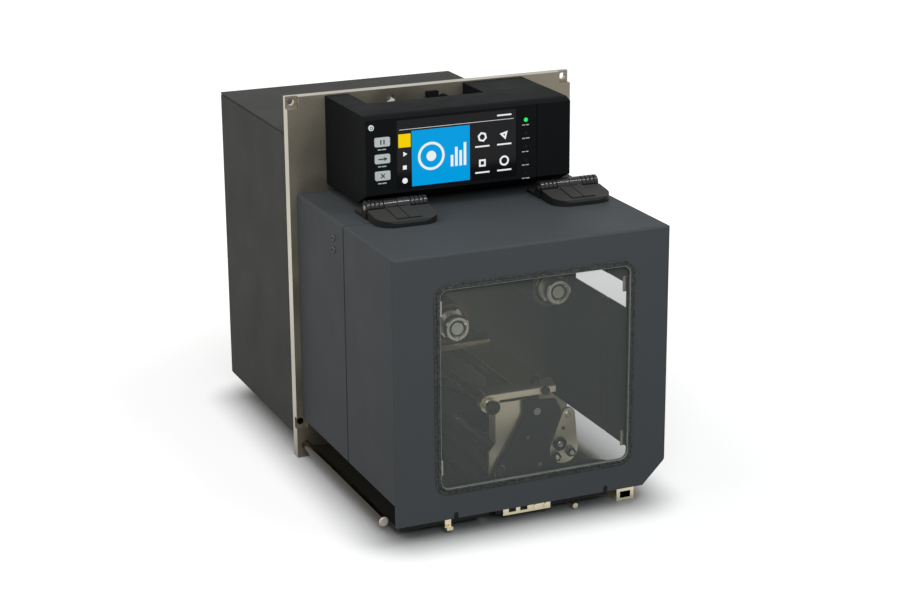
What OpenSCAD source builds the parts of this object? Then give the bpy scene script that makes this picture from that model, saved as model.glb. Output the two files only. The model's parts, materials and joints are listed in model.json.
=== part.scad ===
// Label print engine: a mounting plate that carries an electronics housing behind it and, in front,
// a print mechanism and two ribbon spindles under a cover with a lift-up door.
// Millimetres. X to the right, Y to the back, Z up. The origin is under the middle of the object.

/* [Mount plate] */
// Width of the mounting plate
plate_w = 245; // [238:1:270]
// Height of the mounting plate
plate_h = 300; // [296:1:330]
// Thickness of the mounting plate
plate_t = 9; // [7:0.5:12]
// Thickness left in the milled ears
ear_t = 4; // [3:0.5:5]
// Width and height of a milled ear
ear_size = 9.5; // [9:0.5:12]
// Height of the middle of the lower ears
ear_low_z = 29.6; // [26:0.2:34]
// Diameter of the mounting holes
mount_hole_d = 5.5; // [4:0.1:6]

/* [Depths] */
// From the plate's front face to the door's front face
front_d = 203; // [200:1:220]
// Depth of the electronics housing behind the plate
rear_d = 165; // [155:1:185]

/* [Electronics housing] */
// Width of the electronics housing
rear_w = 212.5; // [205:0.5:225]
// Height of the electronics housing
rear_h = 253.5; // [245:0.5:262]
// Height of its underside above the plate's lower edge
rear_z = 17.5; // [14:0.5:20]
// Thickness of all sheet metal
sheet_t = 1.5; // [1:0.1:2]
// Outer radius of the sheet metal bends
bend_r = 2.5; // [2.2:0.1:3.5]
// Width of the seams between fixed sheets
seam_gap = 0.6; // [0.3:0.1:1]
// Height of a vent slot in the housing
vent_h = 3; // [2:0.5:5]
// Length of a vent slot
vent_w = 60; // [40:1:80]
// Number of vent slots
vent_count = 9; // [4:1:12]

/* [Front cover and door] */
// Width over the cover's side walls
cover_w = 223.4; // [218:0.2:228]
// From the plate's left edge to the cover's left wall
cover_inset = 5.6; // [4.6:0.2:8]
// Height of the cover's top
cover_top = 222.4; // [219:0.2:224]
// Height of the left walls' lower edge
cover_bottom = 33.7; // [30:0.1:38]
// Height of the right walls' lower edge, above the labels' way out
exit_z = 24; // [23:0.5:34]
// From the plate to the seam between cover and door
seam_d = 103; // [101:0.5:106]
// Gap between cover and door
door_gap = 2; // [0.5:0.1:2.4]
// Height of the door front's lower edge
door_bottom = 17; // [15:0.5:20]
// Size of the chamfer on the door's lower right corner
door_chamfer = 19.6; // [12:0.2:24]
// Width of the round notches in the door's lower edge
notch_w = 3.6; // [2:0.1:6]
// Height of the notches
notch_h = 5; // [4:0.1:7]
// Height of the side slot's middle
slot_z = 148.3; // [140:0.1:155]
// Height of the side slot
slot_h = 20.5; // [12:0.5:26]
// From the plate to the slot's back end
slot_back_d = 47; // [35:1:60]
// From the plate to the slot's front end
slot_front_d = 137; // [120:1:150]

/* [Window] */
// Width over the window trim
window_w = 163; // [150:1:170]
// Height over the window trim
window_h = 163; // [150:1:166]
// Middle of the window, left or right of the plate's middle
window_x = -4; // [-8:0.5:0]
// Height of the window's middle
window_z = 118.5; // [114:0.5:122]
// Outer corner radius of the trim
window_r = 11; // [9:0.5:16]
// Width of the trim
trim_w = 5.5; // [4:0.5:8]
// How far the trim laps over the door sheet
trim_lip = 2.4; // [1.5:0.1:3]
// How far the trim stands proud of the door
trim_proud = 1; // [0.6:0.1:1.5]
// Thickness of the window pane
pane_t = 2.5; // [2:0.1:4]
// How far the pane reaches past the trim
pane_lap = 4; // [2:0.5:6]
// Length and width of a pane clip
clip_size = 12; // [8:0.5:16]

/* [Hinges] */
// Width of a hinge
hinge_w = 50; // [44:1:56]
// Middle of the left hinge
hinge_left_x = -70; // [-80:1:-62]
// Middle of the right hinge
hinge_right_x = 75; // [65:1:80]
// From the plate to the hinge axis
hinge_d = 92; // [90:0.5:94]
// Height of the hinge axis above the cover's top
hinge_rise = 8.6; // [7.6:0.1:9.4]
// Diameter of the hinge barrels
barrel_d = 10.8; // [9:0.2:12]
// Diameter of the hinge pin
pin_d = 4; // [3:0.1:5]
// Width of the leaf's middle barrel
barrel_w = 21; // [18:1:30]
// Axial gap between barrels
knuckle_gap = 0.4; // [0.3:0.1:0.8]
// Number of ribs on each outer barrel
rib_count = 4; // [2:1:5]
// From the seam to the leaf's front end
leaf_reach = 23; // [16:1:30]
// Thickness of the leaf's front edge
leaf_t = 4.6; // [3:0.1:6]
// Radius of the leaf's front corners
leaf_round = 14; // [8:0.5:16]

/* [Control panel] */
// Width of the control panel
panel_w = 170.7; // [166:0.1:176]
// Middle of the control panel
panel_x = -6; // [-9:0.1:-3]
// From the plate to the panel's face
panel_d = 87.5; // [86:0.5:88]
// How far the panel's top lies below the plate's top
panel_drop = 1; // [0.5:0.1:4]
// Height of the panel's face
panel_face_h = 58; // [56:0.5:60]
// Depth of the bevel along the panel's top
bevel_d = 7.5; // [4:0.5:10]
// Height of the bevel along the panel's top
bevel_h = 2.5; // [1:0.1:3]
// Wall of the panel's mouldings
panel_wall = 1.6; // [1.2:0.1:2]
// From the plate to the seam between bracket and housing
panel_split_d = 41.8; // [38:0.2:48]
// Width of the bracket's left arm
left_arm_w = 20; // [15:0.5:26]
// Width of the bracket's right arm
right_arm_w = 53; // [45:0.5:58]
// Thickness of the front bezel
bezel_t = 3; // [2.4:0.1:4]
// Width of the display
screen_w = 99; // [94:0.5:102]
// Height of the display
screen_h = 53; // [48:0.5:54]
// Left edge of the display from the panel's left end
screen_inset = 25.5; // [24.5:0.1:27]
// Width of a key
key_w = 12.5; // [10:0.1:13]
// Height of a key
key_h = 7.2; // [6:0.1:8]
// Middle of the keys from the panel's left end
key_inset = 13.4; // [12.5:0.1:14]
// Distance between keys
key_pitch = 13.05; // [12:0.05:14]
// How far the keys stand proud
key_proud = 0.8; // [0.4:0.1:1.5]
// Travel of a key
key_travel = 0.8; // [0.4:0.1:1.2]
// Diameter of the power key
power_key_d = 4.4; // [3.6:0.1:5]
// Middle of the power key from the panel's left end
power_key_inset = 4.7; // [4.6:0.1:5.4]
// Clearance round keys and display
key_clearance = 0.25; // [0.15:0.05:0.4]
// Middle of the status lights from the panel's left end
light_inset = 132.9; // [130:0.1:136]
// Distance between status lights
light_pitch = 10.6; // [9:0.1:10.8]
// Diameter of a status light
light_d = 3.2; // [2:0.1:4]
// Diameter of the panel cable
cable_d = 9; // [6:0.5:11]
// Middle of the panel cable
cable_x = 9; // [4:0.5:14]
// Height of the panel cable below the plate's top
cable_drop = 13; // [11:0.5:18]

/* [Ribbon spindles] */
// Supply spindle, left or right of the plate's middle
supply_x = -43.9; // [-48:0.1:-38]
// Height of the supply spindle
supply_z = 145.4; // [140:0.1:150]
// Take-up spindle, left or right of the plate's middle
takeup_x = 40.4; // [36:0.1:46]
// Height of the take-up spindle
takeup_z = 163.3; // [158:0.1:168]
// From the plate to the spindle's end
spindle_len = 150; // [140:1:165]
// Diameter of the spindle shaft
spindle_shaft_d = 10; // [8:0.5:12]
// Diameter of the spindle's end cap
cap_d = 20; // [16:0.5:22]
// Length of the end cap in front of the core
cap_len = 15; // [12:0.5:20]
// Outer diameter of the ribbon core
core_d = 31; // [29:0.5:36]
// Wall of the ribbon core
core_wall = 2.5; // [1.5:0.1:3]
// From the plate to the core's inner end
core_start_d = 17; // [15:0.5:24]
// Outer diameter of the spindle bearing
bearing_d = 22; // [19:0.5:26]
// Teeth of the take-up gear
gear_teeth = 40; // [32:1:44]
// Teeth of the motor pinion
pinion_teeth = 14; // [14:1:18]
// Module of the gears
gear_module = 1; // [0.8:0.05:1.1]
// Width of the gears
gear_w = 8; // [5:0.5:9]
// Diameter of the ribbon motor
ribbon_motor_d = 32; // [26:1:36]
// Length of the ribbon motor
ribbon_motor_len = 46; // [36:1:60]

/* [Print mechanism] */
// Height of the label web above the plate's lower edge
web_z = 18; // [17.6:0.1:19]
// Gap between rollers, print head and web
web_gap = 0.2; // [0.15:0.05:0.3]
// From the plate to the web's inner edge
web_start_d = 28; // [26:0.5:32]
// Width of the web
web_w = 114; // [108:1:116]
// Diameter of the platen and feed rollers
platen_d = 16; // [14:0.5:16.8]
// Platen roller, left or right of the plate's middle
platen_x = 52; // [49:0.5:54]
// Feed roller, left or right of the plate's middle
feed_x = -10; // [-12:0.5:-8]
// Diameter of the pinch roller
pinch_d = 14; // [12:0.5:15]
// Diameter of the peel roller
peel_d = 10; // [8.4:0.2:11]
// Peel roller, left or right of the plate's middle
peel_x = 68.5; // [67.5:0.5:70]
// Height of the peel roller's axis
peel_z = 6.5; // [6:0.1:7.5]
// Diameter of all roller shafts
roller_shaft_d = 8; // [6:0.5:8.2]
// Radial clearance of shafts in their bores
shaft_clearance = 0.05; // [0.02:0.01:0.1]
// From the plate to the cheek plate's back
cheek_d = 149; // [146:0.5:151]
// Thickness of the cheek plate
cheek_t = 3; // [2:0.5:4]
// Thickness of the pinch bracket
bracket_t = 2.5; // [1.5:0.1:3]
// Upper tie bar, left or right of the plate's middle
tie_x = 22.5; // [20:0.5:24]
// Height of the upper tie bar
tie_z = 72; // [69:0.5:73]
// Diameter of the tie bars
tie_d = 9; // [7:0.5:10]
// Head pivot, left or right of the plate's middle
head_x = -17; // [-19:0.5:-15.5]
// Height of the head pivot
head_z = 80; // [78:0.5:82]
// Width of the head's rails
rail_w = 59; // [56:0.5:62]
// Depth of the head's rails
rail_depth = 10.5; // [8:0.5:12]
// Height of the head's rails
rail_h = 8.4; // [7:0.1:10]
// Wall of the head bracket
rail_t = 2; // [1.5:0.1:2.5]
// Height of the print head block
head_h = 12.8; // [11:0.1:15]
// Width of the print head block
head_w = 27; // [22:0.5:28]
// Latch pivot, left or right of the plate's middle
latch_x = 38.9; // [38:0.1:40]
// Height of the latch pivot
latch_z = 42.1; // [41:0.1:44]
// Length of the latch from its round foot to its tip
latch_len = 28; // [24:0.5:32]
// Thickness of the latch plate
latch_t = 3; // [2:0.5:4]
// Gap on each side of the latch plate
latch_gap = 0.4; // [0.3:0.1:0.6]
// Diameter of the pulleys on the rollers
pulley_d = 14; // [13:0.5:14.4]
// Diameter of the motor pulley
motor_pulley_d = 12; // [10:0.5:14]
// Width of the drive belt
belt_w = 8; // [6:0.5:8.4]
// Thickness of the drive belt
belt_t = 1.3; // [1:0.1:1.5]
// Gap between belt and pulleys
belt_gap = 0.3; // [0.2:0.05:0.4]
// Drive motor, left or right of the plate's middle
motor_x = -34; // [-36:0.5:-32]
// Height of the drive motor's shaft
motor_z = 60; // [56:0.5:64]
// Width of the drive motor
motor_w = 56.4; // [50:0.2:60]
// Length of the drive motor
motor_len = 54; // [40:1:76]
// Diameter of the guide rod
rod_d = 8; // [6:0.5:10]
// Guide rod from the plate's left edge
rod_inset = 7.5; // [6:0.1:9]
// Height of the guide rod's axis
rod_z = 10.2; // [8:0.1:12]
// Length of the guide rod
rod_len = 173; // [160:1:180]
// Left end of the front tray
tray_x0 = -109; // [-109.5:0.5:-95]
// Right end of the front tray
tray_x1 = 64; // [60:0.5:66]
// Height of the front tray's underside
tray_z = 7; // [6.6:0.1:8]
// Gap between the tray's base pan and the feed roller
pan_gap = 2.4; // [2.2:0.1:8]
// From the plate to the front tray's front
tray_d = 188; // [180:0.5:190]
// Width of the peel bracket
peel_bracket_w = 14.7; // [12:0.1:16]
// Height of the peel bracket
peel_bracket_h = 10; // [8:0.1:10.4]

/* [Fan, inlet and ports] */
// Width of the cooling fan
fan_w = 60; // [50:1:70]
// Depth of the cooling fan
fan_t = 20; // [16:0.5:26]
// Fan from the housing's right side
fan_inset = 45; // [40:1:60]
// Fan below the housing's top
fan_drop = 56; // [45:1:70]
// Number of fan blades
blade_count = 7; // [5:1:9]
// Wire of the fan guard
guard_wire = 1; // [0.8:0.1:1.2]
// Width of the power inlet module
inlet_w = 30; // [28:0.5:34]
// Height of the power inlet module
inlet_h = 48; // [46:0.5:56]
// Power inlet from the housing's right side
inlet_inset = 45; // [40:1:60]
// Height of the inlet's middle above the housing's floor
inlet_z = 88; // [84:1:110]
// Width of the rocker
rocker_w = 18; // [14:0.5:20]
// Diameter of the rocker's round back
rocker_d = 12.4; // [10:0.2:14]
// Half the rocker's tilt
rocker_tilt = 8; // [5:1:10]
// Main board from the housing's left wall
board_inset = 14; // [10:0.5:20]
// Thickness of the circuit boards
board_t = 1.6; // [1:0.1:2]
// Clearance round ports and inlet
port_clearance = 0.3; // [0.2:0.05:0.5]

/* [Hidden] */
$fn = 48;

// Planes across the depth
plate_y = (front_d + trim_proud - plate_t - rear_d - guard_wire) / 2;
plate_back = plate_y + plate_t;
rear_y = plate_back + rear_d;
door_y = plate_y - front_d;
over = 1;
mount_points = [for (side = [-1, 1], z = [ear_low_z, plate_h - ear_size / 2])
    [side * (plate_w - ear_size) / 2, z]];

// Electronics housing
rear_x0 = -plate_w / 2;
rear_x1 = rear_x0 + rear_w;
rear_top = rear_z + rear_h;

// Cover and door
cover_x0 = -plate_w / 2 + cover_inset;
cover_x1 = cover_x0 + cover_w;
inner_x0 = cover_x0 + sheet_t;
inner_x1 = cover_x1 - sheet_t;
door_seam_d = seam_d + door_gap;
door_right_bottom = door_bottom + door_chamfer;
notch_at = [window_x - 65, window_x + 59];
screw_drops = [14, 23.4];
screw_inset = 19;

// Window
window_x0 = window_x - window_w / 2;
window_x1 = window_x + window_w / 2;
window_z0 = window_z - window_h / 2;
window_z1 = window_z + window_h / 2;
pane_d1 = front_d - sheet_t;
pane_d0 = pane_d1 - pane_t;
clip_t = 1.2;

// Hinge
hinge_z = cover_top + hinge_rise;
hinge_clear = 0.5;
leaf_gap = 1;
leaf_back_y = plate_y - hinge_d - barrel_d / 2 - leaf_gap;
leaf_front_y = plate_y - seam_d - leaf_reach;
leaf_back_z = hinge_z - hinge_clear;
leaf_slope = (leaf_back_z - cover_top - leaf_t) / (leaf_back_y - leaf_front_y);
pad_w = 9.6;
pad_gap = 0.6;
pad_t = 0.9;
foot_reach = 15;
foot_t = 3;
hinge_at = [hinge_left_x, hinge_right_x];

// Control panel
panel_x0 = panel_x - panel_w / 2;
panel_x1 = panel_x + panel_w / 2;
panel_top = plate_h - panel_drop;
face_top = panel_top - bevel_h;
face_bottom = face_top - panel_face_h;
chin_z = cover_top + 6;
chin_d = panel_d - 20;
bezel_back_d = panel_d - bezel_t;
key_flange = 0.5;
key_flange_t = 1;
key_seat = 0.2;
key_stem = 2.3;
flange_d1 = bezel_back_d - key_seat;
flange_d0 = flange_d1 - key_flange_t;
board_front_d = flange_d0 - key_stem - key_travel - key_seat;
screen_x0 = panel_x0 + screen_inset;
screen_z0 = face_bottom + (panel_face_h - screen_h) / 2 + 0.4;
key_x = panel_x0 + key_inset;
key_z = face_bottom + panel_face_h / 2 - 1.3;
power_key_z = face_top - 5.7;
light_z = face_bottom + panel_face_h / 2 - 3.9;
cable_z = plate_h - cable_drop;
grommet_w = 10;
grommet_h = 12;
grommet_t = 4;
grommet_gap = 0.5;
conduit_pitch = 3;
conduit_groove = 0.8;
keys = [key_pitch, 0, -key_pitch];

// Spindles
supply_at = [supply_x, supply_z];
takeup_at = [takeup_x, takeup_z];
core_end_d = spindle_len - cap_len;
core_bore = core_d - 2 * core_wall;
running_gap = 0.5;
spring_gap = 0.2;
spring_w = 8;
spring_inset = 4;
cap_notch_w = 2.6;
cap_notch_d = 1.4;
fit_gap = 0.03;
gear_backlash = 0.3;
gear_y0 = plate_back + 4;
gear_distance = gear_module * (gear_teeth + pinion_teeth) / 2;
pinion_angle = -60;
pinion_at = [takeup_x + gear_distance * cos(pinion_angle), takeup_z + gear_distance * sin(pinion_angle)];
ribbon_motor_y = gear_y0 + gear_w + 3;

// Rollers
platen_at = [platen_x, web_z - web_gap - platen_d / 2];
feed_at = [feed_x, platen_at[1]];
pinch_at = [feed_x, web_z + web_gap + pinch_d / 2];
peel_at = [peel_x, peel_z];
roller_d0 = web_start_d - 3;
roller_d1 = web_start_d + web_w + 2;
roller_bore = roller_shaft_d + 2 * shaft_clearance;
cheek_front_d = cheek_d + cheek_t;
shaft_recess = 0.3;
shaft_end_d = cheek_front_d - shaft_recess;
belt_d0 = 3;
motor_at = [motor_x, motor_z];
motor_pilot_d = 38;
motor_shaft_d = 6;
tie_at = [tie_x, tie_z];
low_tie_at = [(platen_x + feed_x) / 2 - 1, platen_at[1] + 1.2];

// Print head
head_at = [head_x, head_z];
head_shaft_d = roller_shaft_d;
rail_x1 = head_x - 3 + rail_w;
rail_z0 = head_z + 2.6;
rail_z1 = rail_z0 + rail_h;
rail_d1 = cheek_d - 0.5;
rail_d0 = rail_d1 - rail_depth;
rear_rail_d0 = belt_d0 + belt_w + 3;
head_z0 = web_z + web_gap;
wall_x0 = platen_x - head_w + 8;
latch_at = [latch_x, latch_z];
latch_foot = [latch_x + 4.1, latch_z - 5.1];
latch_tip = [latch_x + 7.9, latch_foot[1] + latch_len];
latch_d0 = cheek_front_d + latch_gap;
latch_d1 = latch_d0 + latch_t;
latch_foot_r = 12;
latch_tip_r = 5.5;
star_knobs = [[9.2, -7.7], [-3.4, -9.7]];

// Under the door
peel_bracket_x0 = 72.7;
rod_at = [-plate_w / 2 + rod_inset, rod_z];
stub_d = rod_d - 2;
stud_at = [platen_x - 15.6, 3.2];
strip_w = 39.6;
strip_h = 6.4;
strip_drop = 1.4;
strip_inset = 37;
strip_x1 = platen_x - strip_inset;
pan_x1 = feed_x - platen_d / 2 - pan_gap;
tray_lip = 8.5;
tray_break = [strip_x1 - strip_w - 11, strip_x1 - strip_w - 5.6];
break_d = 20;
hook_x = notch_at[0] - 1;
hook_w = 5;

// Rear equipment
fan_at = [rear_x1 - fan_inset, rear_top - fan_drop];
fan_y1 = rear_y - sheet_t;
fan_y0 = fan_y1 - fan_t;
fan_bore = fan_w - 3;
fan_hub = fan_w * 0.44;
inlet_at = [rear_x1 - inlet_inset, rear_z + inlet_z];
rocker_at = [inlet_at[0], inlet_at[1] + inlet_h / 2 - rocker_d / 2 - 3];
rocker_y = rear_y - rocker_d / 2 + 0.2;
socket_z = inlet_at[1] - 8;
board_x0 = rear_x0 + sheet_t + board_inset;
board_x1 = board_x0 + board_t;
board_y1 = rear_y - sheet_t - 0.5;
board_len = 120;
board_rise = 40;
board_headroom = 26;
board_y0 = board_y1 - board_len;
board_z0 = rear_z + board_rise;
board_z1 = rear_top - board_headroom;
standoff_d = 6;
standoff_edge = 8;
port_room = 30;
capacitor_d = 12;
capacitor_h = 16;
capacitor_pitch = 22;
sink_w = 35;
sink_h = 40;
sink_t = 12;
chip_w = 30;
chip_t = 4;
chip_y0 = board_y0 + board_len / 3;
sink_z0 = board_z0 + board_len / 2;
chip_z0 = sink_z0 + sink_h + standoff_edge;
// Each port: height of its middle above the board's lower edge, width, height, depth, opening's depth
ports = [[20, 14, 16, 21, 9], [44, 11, 12, 16, 0], [66, 7, 15, 18, 0], [86, 7, 15, 18, 0],
    [116, 12, 31, 14, 0], [156, 12, 40, 14, 0]];

charcoal = [0.23, 0.25, 0.26];
side_charcoal = [0.2, 0.2, 0.19];
nickel = [0.66, 0.64, 0.58];
steel = [0.75, 0.75, 0.73];
black = [0.07, 0.07, 0.07];
rubber = [0.12, 0.12, 0.12];

// Depth in front of the plate as a Y coordinate
function fy(d) = plate_y - d;

// Points of a circular arc
function arc(c, r, a0, a1, n = 6) =
    [for (i = [0:n]) let (a = a0 + (a1 - a0) * i / n) [c[0] + r * cos(a), c[1] + r * sin(a)]];

// Rectangle with round corners between two corner points
function round_rect(p0, p1, r, n = 6) = concat(
    arc([p1[0] - r, p1[1] - r], r, 0, 90, n), arc([p0[0] + r, p1[1] - r], r, 90, 180, n),
    arc([p0[0] + r, p0[1] + r], r, 180, 270, n), arc([p1[0] - r, p0[1] + r], r, 270, 360, n));

// Outline that wraps two circles
function wrap_two(p, rp, q, rq, n = 10) =
    let (v = q - p, a = atan2(v[1], v[0]), b = acos((rp - rq) / norm(v)))
    concat(arc(p, rp, a + b, a + 360 - b, 2 * n), arc(q, rq, a - b, a + b, n));

// Spur gear outline with straight flanks
function gear_points(n, m, turn) = [for (i = [0:n - 1], k = [0:3]) let (
    rt = m * (n / 2 + 0.85), rr = m * (n / 2 - 1.2),
    half = PI * m / 4 - gear_backlash / 2,
    tip = (half - 0.85 * m * tan(20)) / rt * 180 / PI,
    root = (half + 1.2 * m * tan(20)) / rr * 180 / PI,
    a = turn + 360 * i / n + [-root, -tip, tip, root][k],
    r = (k == 1 || k == 2) ? rt : rr) [r * cos(a), r * sin(a)]];

// Extrude an XZ outline from y0 to y1
module slab_y(y0, y1) {
    translate([0, y1, 0]) rotate([90, 0, 0]) linear_extrude(y1 - y0) children();
}

// Extrude a YZ outline from x0 to x1
module slab_x(x0, x1) {
    translate([x0, 0, 0]) rotate([90, 0, 90]) linear_extrude(x1 - x0) children();
}

// Extrude an XY outline from z0 to z1
module slab_z(z0, z1) {
    translate([0, 0, z0]) linear_extrude(z1 - z0) children();
}

// Box between two limits on each axis
module block(x, y, z) {
    translate([x[0], y[0], z[0]]) cube([x[1] - x[0], y[1] - y[0], z[1] - z[0]]);
}

// Cylinder along Y at an XZ point
module rod_y(at, y0, y1, d) {
    translate([at[0], y1, at[1]]) rotate([90, 0, 0]) cylinder(h = y1 - y0, d = d);
}

// Cylinder along X at a YZ point
module rod_x(at, x0, x1, d) {
    translate([x0, at[0], at[1]]) rotate([0, 90, 0]) cylinder(h = x1 - x0, d = d);
}

// Body of revolution about Y: radius and depth in front of the plate
module turned(at, profile) {
    translate([at[0], plate_y, at[1]]) rotate([90, 0, 0]) rotate_extrude() polygon(profile);
}

// Plate with milled ears, shaft bores and wiring holes
module mount_plate() {
    color(nickel) difference() {
        block([-plate_w / 2, plate_w / 2], [plate_y, plate_back], [0, plate_h]);
        for (side = [-1, 1], z = [ear_low_z - ear_size / 2, plate_h - ear_size]) {
            translate([side * (plate_w / 2 - ear_size / 2 + over / 2), 0, z + ear_size / 2])
                block([-(ear_size + over) / 2, (ear_size + over) / 2], [plate_y - over, plate_back - ear_t],
                    [-ear_size / 2, ear_size / 2 + (z > plate_h / 2 ? over : 0)]);
        }
        for (p = mount_points) rod_y(p, plate_y - over, plate_back + over, mount_hole_d);
        for (p = [supply_at, takeup_at]) rod_y(p, plate_y - over, plate_back + over, bearing_d + 2 * fit_gap);
        for (p = [platen_at, feed_at, pinch_at, peel_at]) {
            rod_y(p, plate_y - over, plate_back + over, roller_bore);
        }
        rod_y(motor_at, plate_y - over, plate_back + over, motor_pilot_d + 2 * fit_gap);
        rod_y(rod_at, plate_y - over, plate_back + over, stub_d + 2 * fit_gap);
        rod_y([cable_x, cable_z], plate_y - over, plate_back + over, cable_d + 2 * fit_gap);
        rod_y([cable_x - 44.7, plate_h - 9], plate_y - over, plate_back + over, cable_d - 2);
    }
}

// Housing tray: left wall, floor and back with the cut-outs for fan, inlet and ports
module rear_chassis() {
    x1 = rear_x1 - sheet_t;
    top = rear_top - sheet_t - seam_gap;
    color(side_charcoal) difference() {
        union() {
            slab_y(plate_back, rear_y) polygon(concat(
                [[x1, rear_z], [x1, rear_z + sheet_t]],
                arc([rear_x0 + bend_r, rear_z + bend_r], bend_r - sheet_t, 270, 180, 4),
                [[rear_x0 + sheet_t, top], [rear_x0, top]],
                arc([rear_x0 + bend_r, rear_z + bend_r], bend_r, 180, 270, 4)));
            block([rear_x0 + sheet_t, x1], [rear_y - sheet_t, rear_y],
                [rear_z + sheet_t, rear_top - sheet_t]);
        }
        rod_y(fan_at, rear_y - sheet_t - over, rear_y + over, fan_bore);
        block([inlet_at[0] - inlet_w / 2 - port_clearance, inlet_at[0] + inlet_w / 2 + port_clearance],
            [rear_y - sheet_t - over, rear_y + over],
            [inlet_at[1] - inlet_h / 2 - port_clearance, inlet_at[1] + inlet_h / 2 + port_clearance]);
        for (p = ports) {
            block([board_x1 - port_clearance, board_x1 + p[1] + port_clearance],
                [rear_y - sheet_t - over, rear_y + over],
                [board_z0 + p[0] - p[2] / 2 - port_clearance, board_z0 + p[0] + p[2] / 2 + port_clearance]);
        }
    }
}

// Housing cover: top and vented right wall in one folded sheet
module rear_cover() {
    bend = [rear_x1 - bend_r, rear_top - bend_r];
    pitch = 2.4 * vent_h;
    color(side_charcoal) difference() {
        slab_y(plate_back, rear_y) polygon(concat(
            [[rear_x0, rear_top]], arc(bend, bend_r, 90, 0, 4),
            [[rear_x1, rear_z], [rear_x1 - sheet_t, rear_z]],
            arc(bend, bend_r - sheet_t, 0, 90, 4), [[rear_x0, rear_top - sheet_t]]));
        for (i = [0:vent_count - 1]) {
            z = rear_z + rear_h / 2 + (i - (vent_count - 1) / 2) * pitch;
            block([rear_x1 - sheet_t - over, rear_x1 + over],
                [plate_back + (rear_d - vent_w) / 2, plate_back + (rear_d + vent_w) / 2],
                [z - vent_h / 2, z + vent_h / 2]);
        }
    }
}

// Button head screws that hold the front cover
module cover_screws() {
    head_d = 5;
    head_t = 1.4;
    color(steel) for (side = [0, 1], drop = screw_drops) {
        x = side == 0 ? cover_x0 - head_t : cover_x1;
        rod_x([fy(seam_d - screw_inset), cover_top - drop], x, x + head_t, head_d);
    }
}

// Interface sockets at the main board's rear edge
module io_ports() {
    wall = 1.5;
    color(steel) for (p = ports) {
        z = board_z0 + p[0];
        difference() {
            block([board_x1, board_x1 + p[1]], [rear_y - p[3], rear_y], [z - p[2] / 2, z + p[2] / 2]);
            if (p[4] > 0) {
                block([board_x1 + wall, board_x1 + p[1] - wall], [rear_y - p[4], rear_y + over],
                    [z - p[2] / 2 + wall, z + p[2] / 2 - wall]);
            } else {
                block([board_x1 + wall, board_x1 + p[1] - wall], [rear_y - wall, rear_y + over],
                    [z - p[2] / 2 + wall, z + p[2] / 2 - wall]);
            }
        }
    }
}

// Mains inlet with a well for the rocker above it
module power_inlet() {
    depth = 22;
    flange = 1.5;
    well = rocker_d / 2 + 0.3;
    socket_w = 24;
    socket_h = 16.5;
    socket_depth = 15;
    x = inlet_at[0];
    outside = rear_y + 2 * over;
    color(black) difference() {
        union() {
            block([x - inlet_w / 2, x + inlet_w / 2], [rear_y - depth, rear_y],
                [inlet_at[1] - inlet_h / 2, inlet_at[1] + inlet_h / 2]);
            block([x - inlet_w / 2 - flange, x + inlet_w / 2 + flange], [rear_y, rear_y + guard_wire],
                [inlet_at[1] - inlet_h / 2 - flange, inlet_at[1] + inlet_h / 2 + flange]);
        }
        difference() {
            block([x - rocker_w / 2 - 0.4, x + rocker_w / 2 + 0.4], [rocker_y - well, outside],
                [rocker_at[1] - well, rocker_at[1] + well]);
            rod_x([rocker_y, rocker_at[1]], x - rocker_w / 2 - over, x + rocker_w / 2 + over, pin_d - 1);
        }
        difference() {
            block([x - socket_w / 2, x + socket_w / 2], [rear_y - socket_depth, outside],
                [socket_z - socket_h / 2, socket_z + socket_h / 2]);
            for (i = [-1:1]) {
                block([x + i * 7 - 1, x + i * 7 + 1], [rear_y - socket_depth - over, rear_y - 2],
                    [socket_z + abs(i) * 3 - 4, socket_z + abs(i) * 3]);
            }
        }
    }
}

// Rocker on its pin, tilted to off
module power_rocker() {
    r = rocker_d / 2;
    color(black) translate([0, rocker_y, rocker_at[1]]) rotate([rocker_tilt, 0, 0]) difference() {
        rod_x([0, 0], inlet_at[0] - rocker_w / 2, inlet_at[0] + rocker_w / 2, rocker_d);
        rod_x([0, 0], inlet_at[0] - rocker_w, inlet_at[0] + rocker_w, pin_d - 1 + 2 * shaft_clearance);
        for (s = [-1, 1]) {
            slab_x(inlet_at[0] - rocker_w, inlet_at[0] + rocker_w)
                polygon([[r * 0.62, 0], [r * 0.62 + r * tan(rocker_tilt), s * r], [2 * r, s * r],
                    [2 * r, 0]]);
        }
    }
}

// Square fan frame with its motor seat and struts
module fan_frame() {
    seat_t = 4;
    color(black) {
        difference() {
            block([fan_at[0] - fan_w / 2, fan_at[0] + fan_w / 2], [fan_y0, fan_y1],
                [fan_at[1] - fan_w / 2, fan_at[1] + fan_w / 2]);
            rod_y(fan_at, fan_y0 - over, fan_y1 + over, fan_bore);
        }
        rod_y(fan_at, fan_y0, fan_y0 + seat_t, fan_hub);
        rod_y(fan_at, fan_y0 + seat_t, fan_y1 - 3, pin_d - 1);
        for (a = [45:90:315]) {
            translate([fan_at[0], 0, fan_at[1]]) rotate([0, a, 0])
                block([fan_hub / 2 - over, fan_bore / 2 + over], [fan_y0, fan_y0 + 2.5], [-1.5, 1.5]);
        }
    }
}

// Ring guard outside the fan
module fan_guard() {
    color(steel) {
        for (f = [0.14, 0.27, 0.4, 0.52]) {
            translate([fan_at[0], rear_y + guard_wire, fan_at[1]]) rotate([90, 0, 0]) rotate_extrude()
                translate([fan_w * f, 0]) square([1.4 * guard_wire, guard_wire]);
        }
        for (a = [45, 135]) {
            translate([fan_at[0], 0, fan_at[1]]) rotate([0, a, 0])
                block([-fan_w * 0.6, fan_w * 0.6], [rear_y, rear_y + guard_wire], [-guard_wire, guard_wire]);
        }
    }
}

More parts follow.
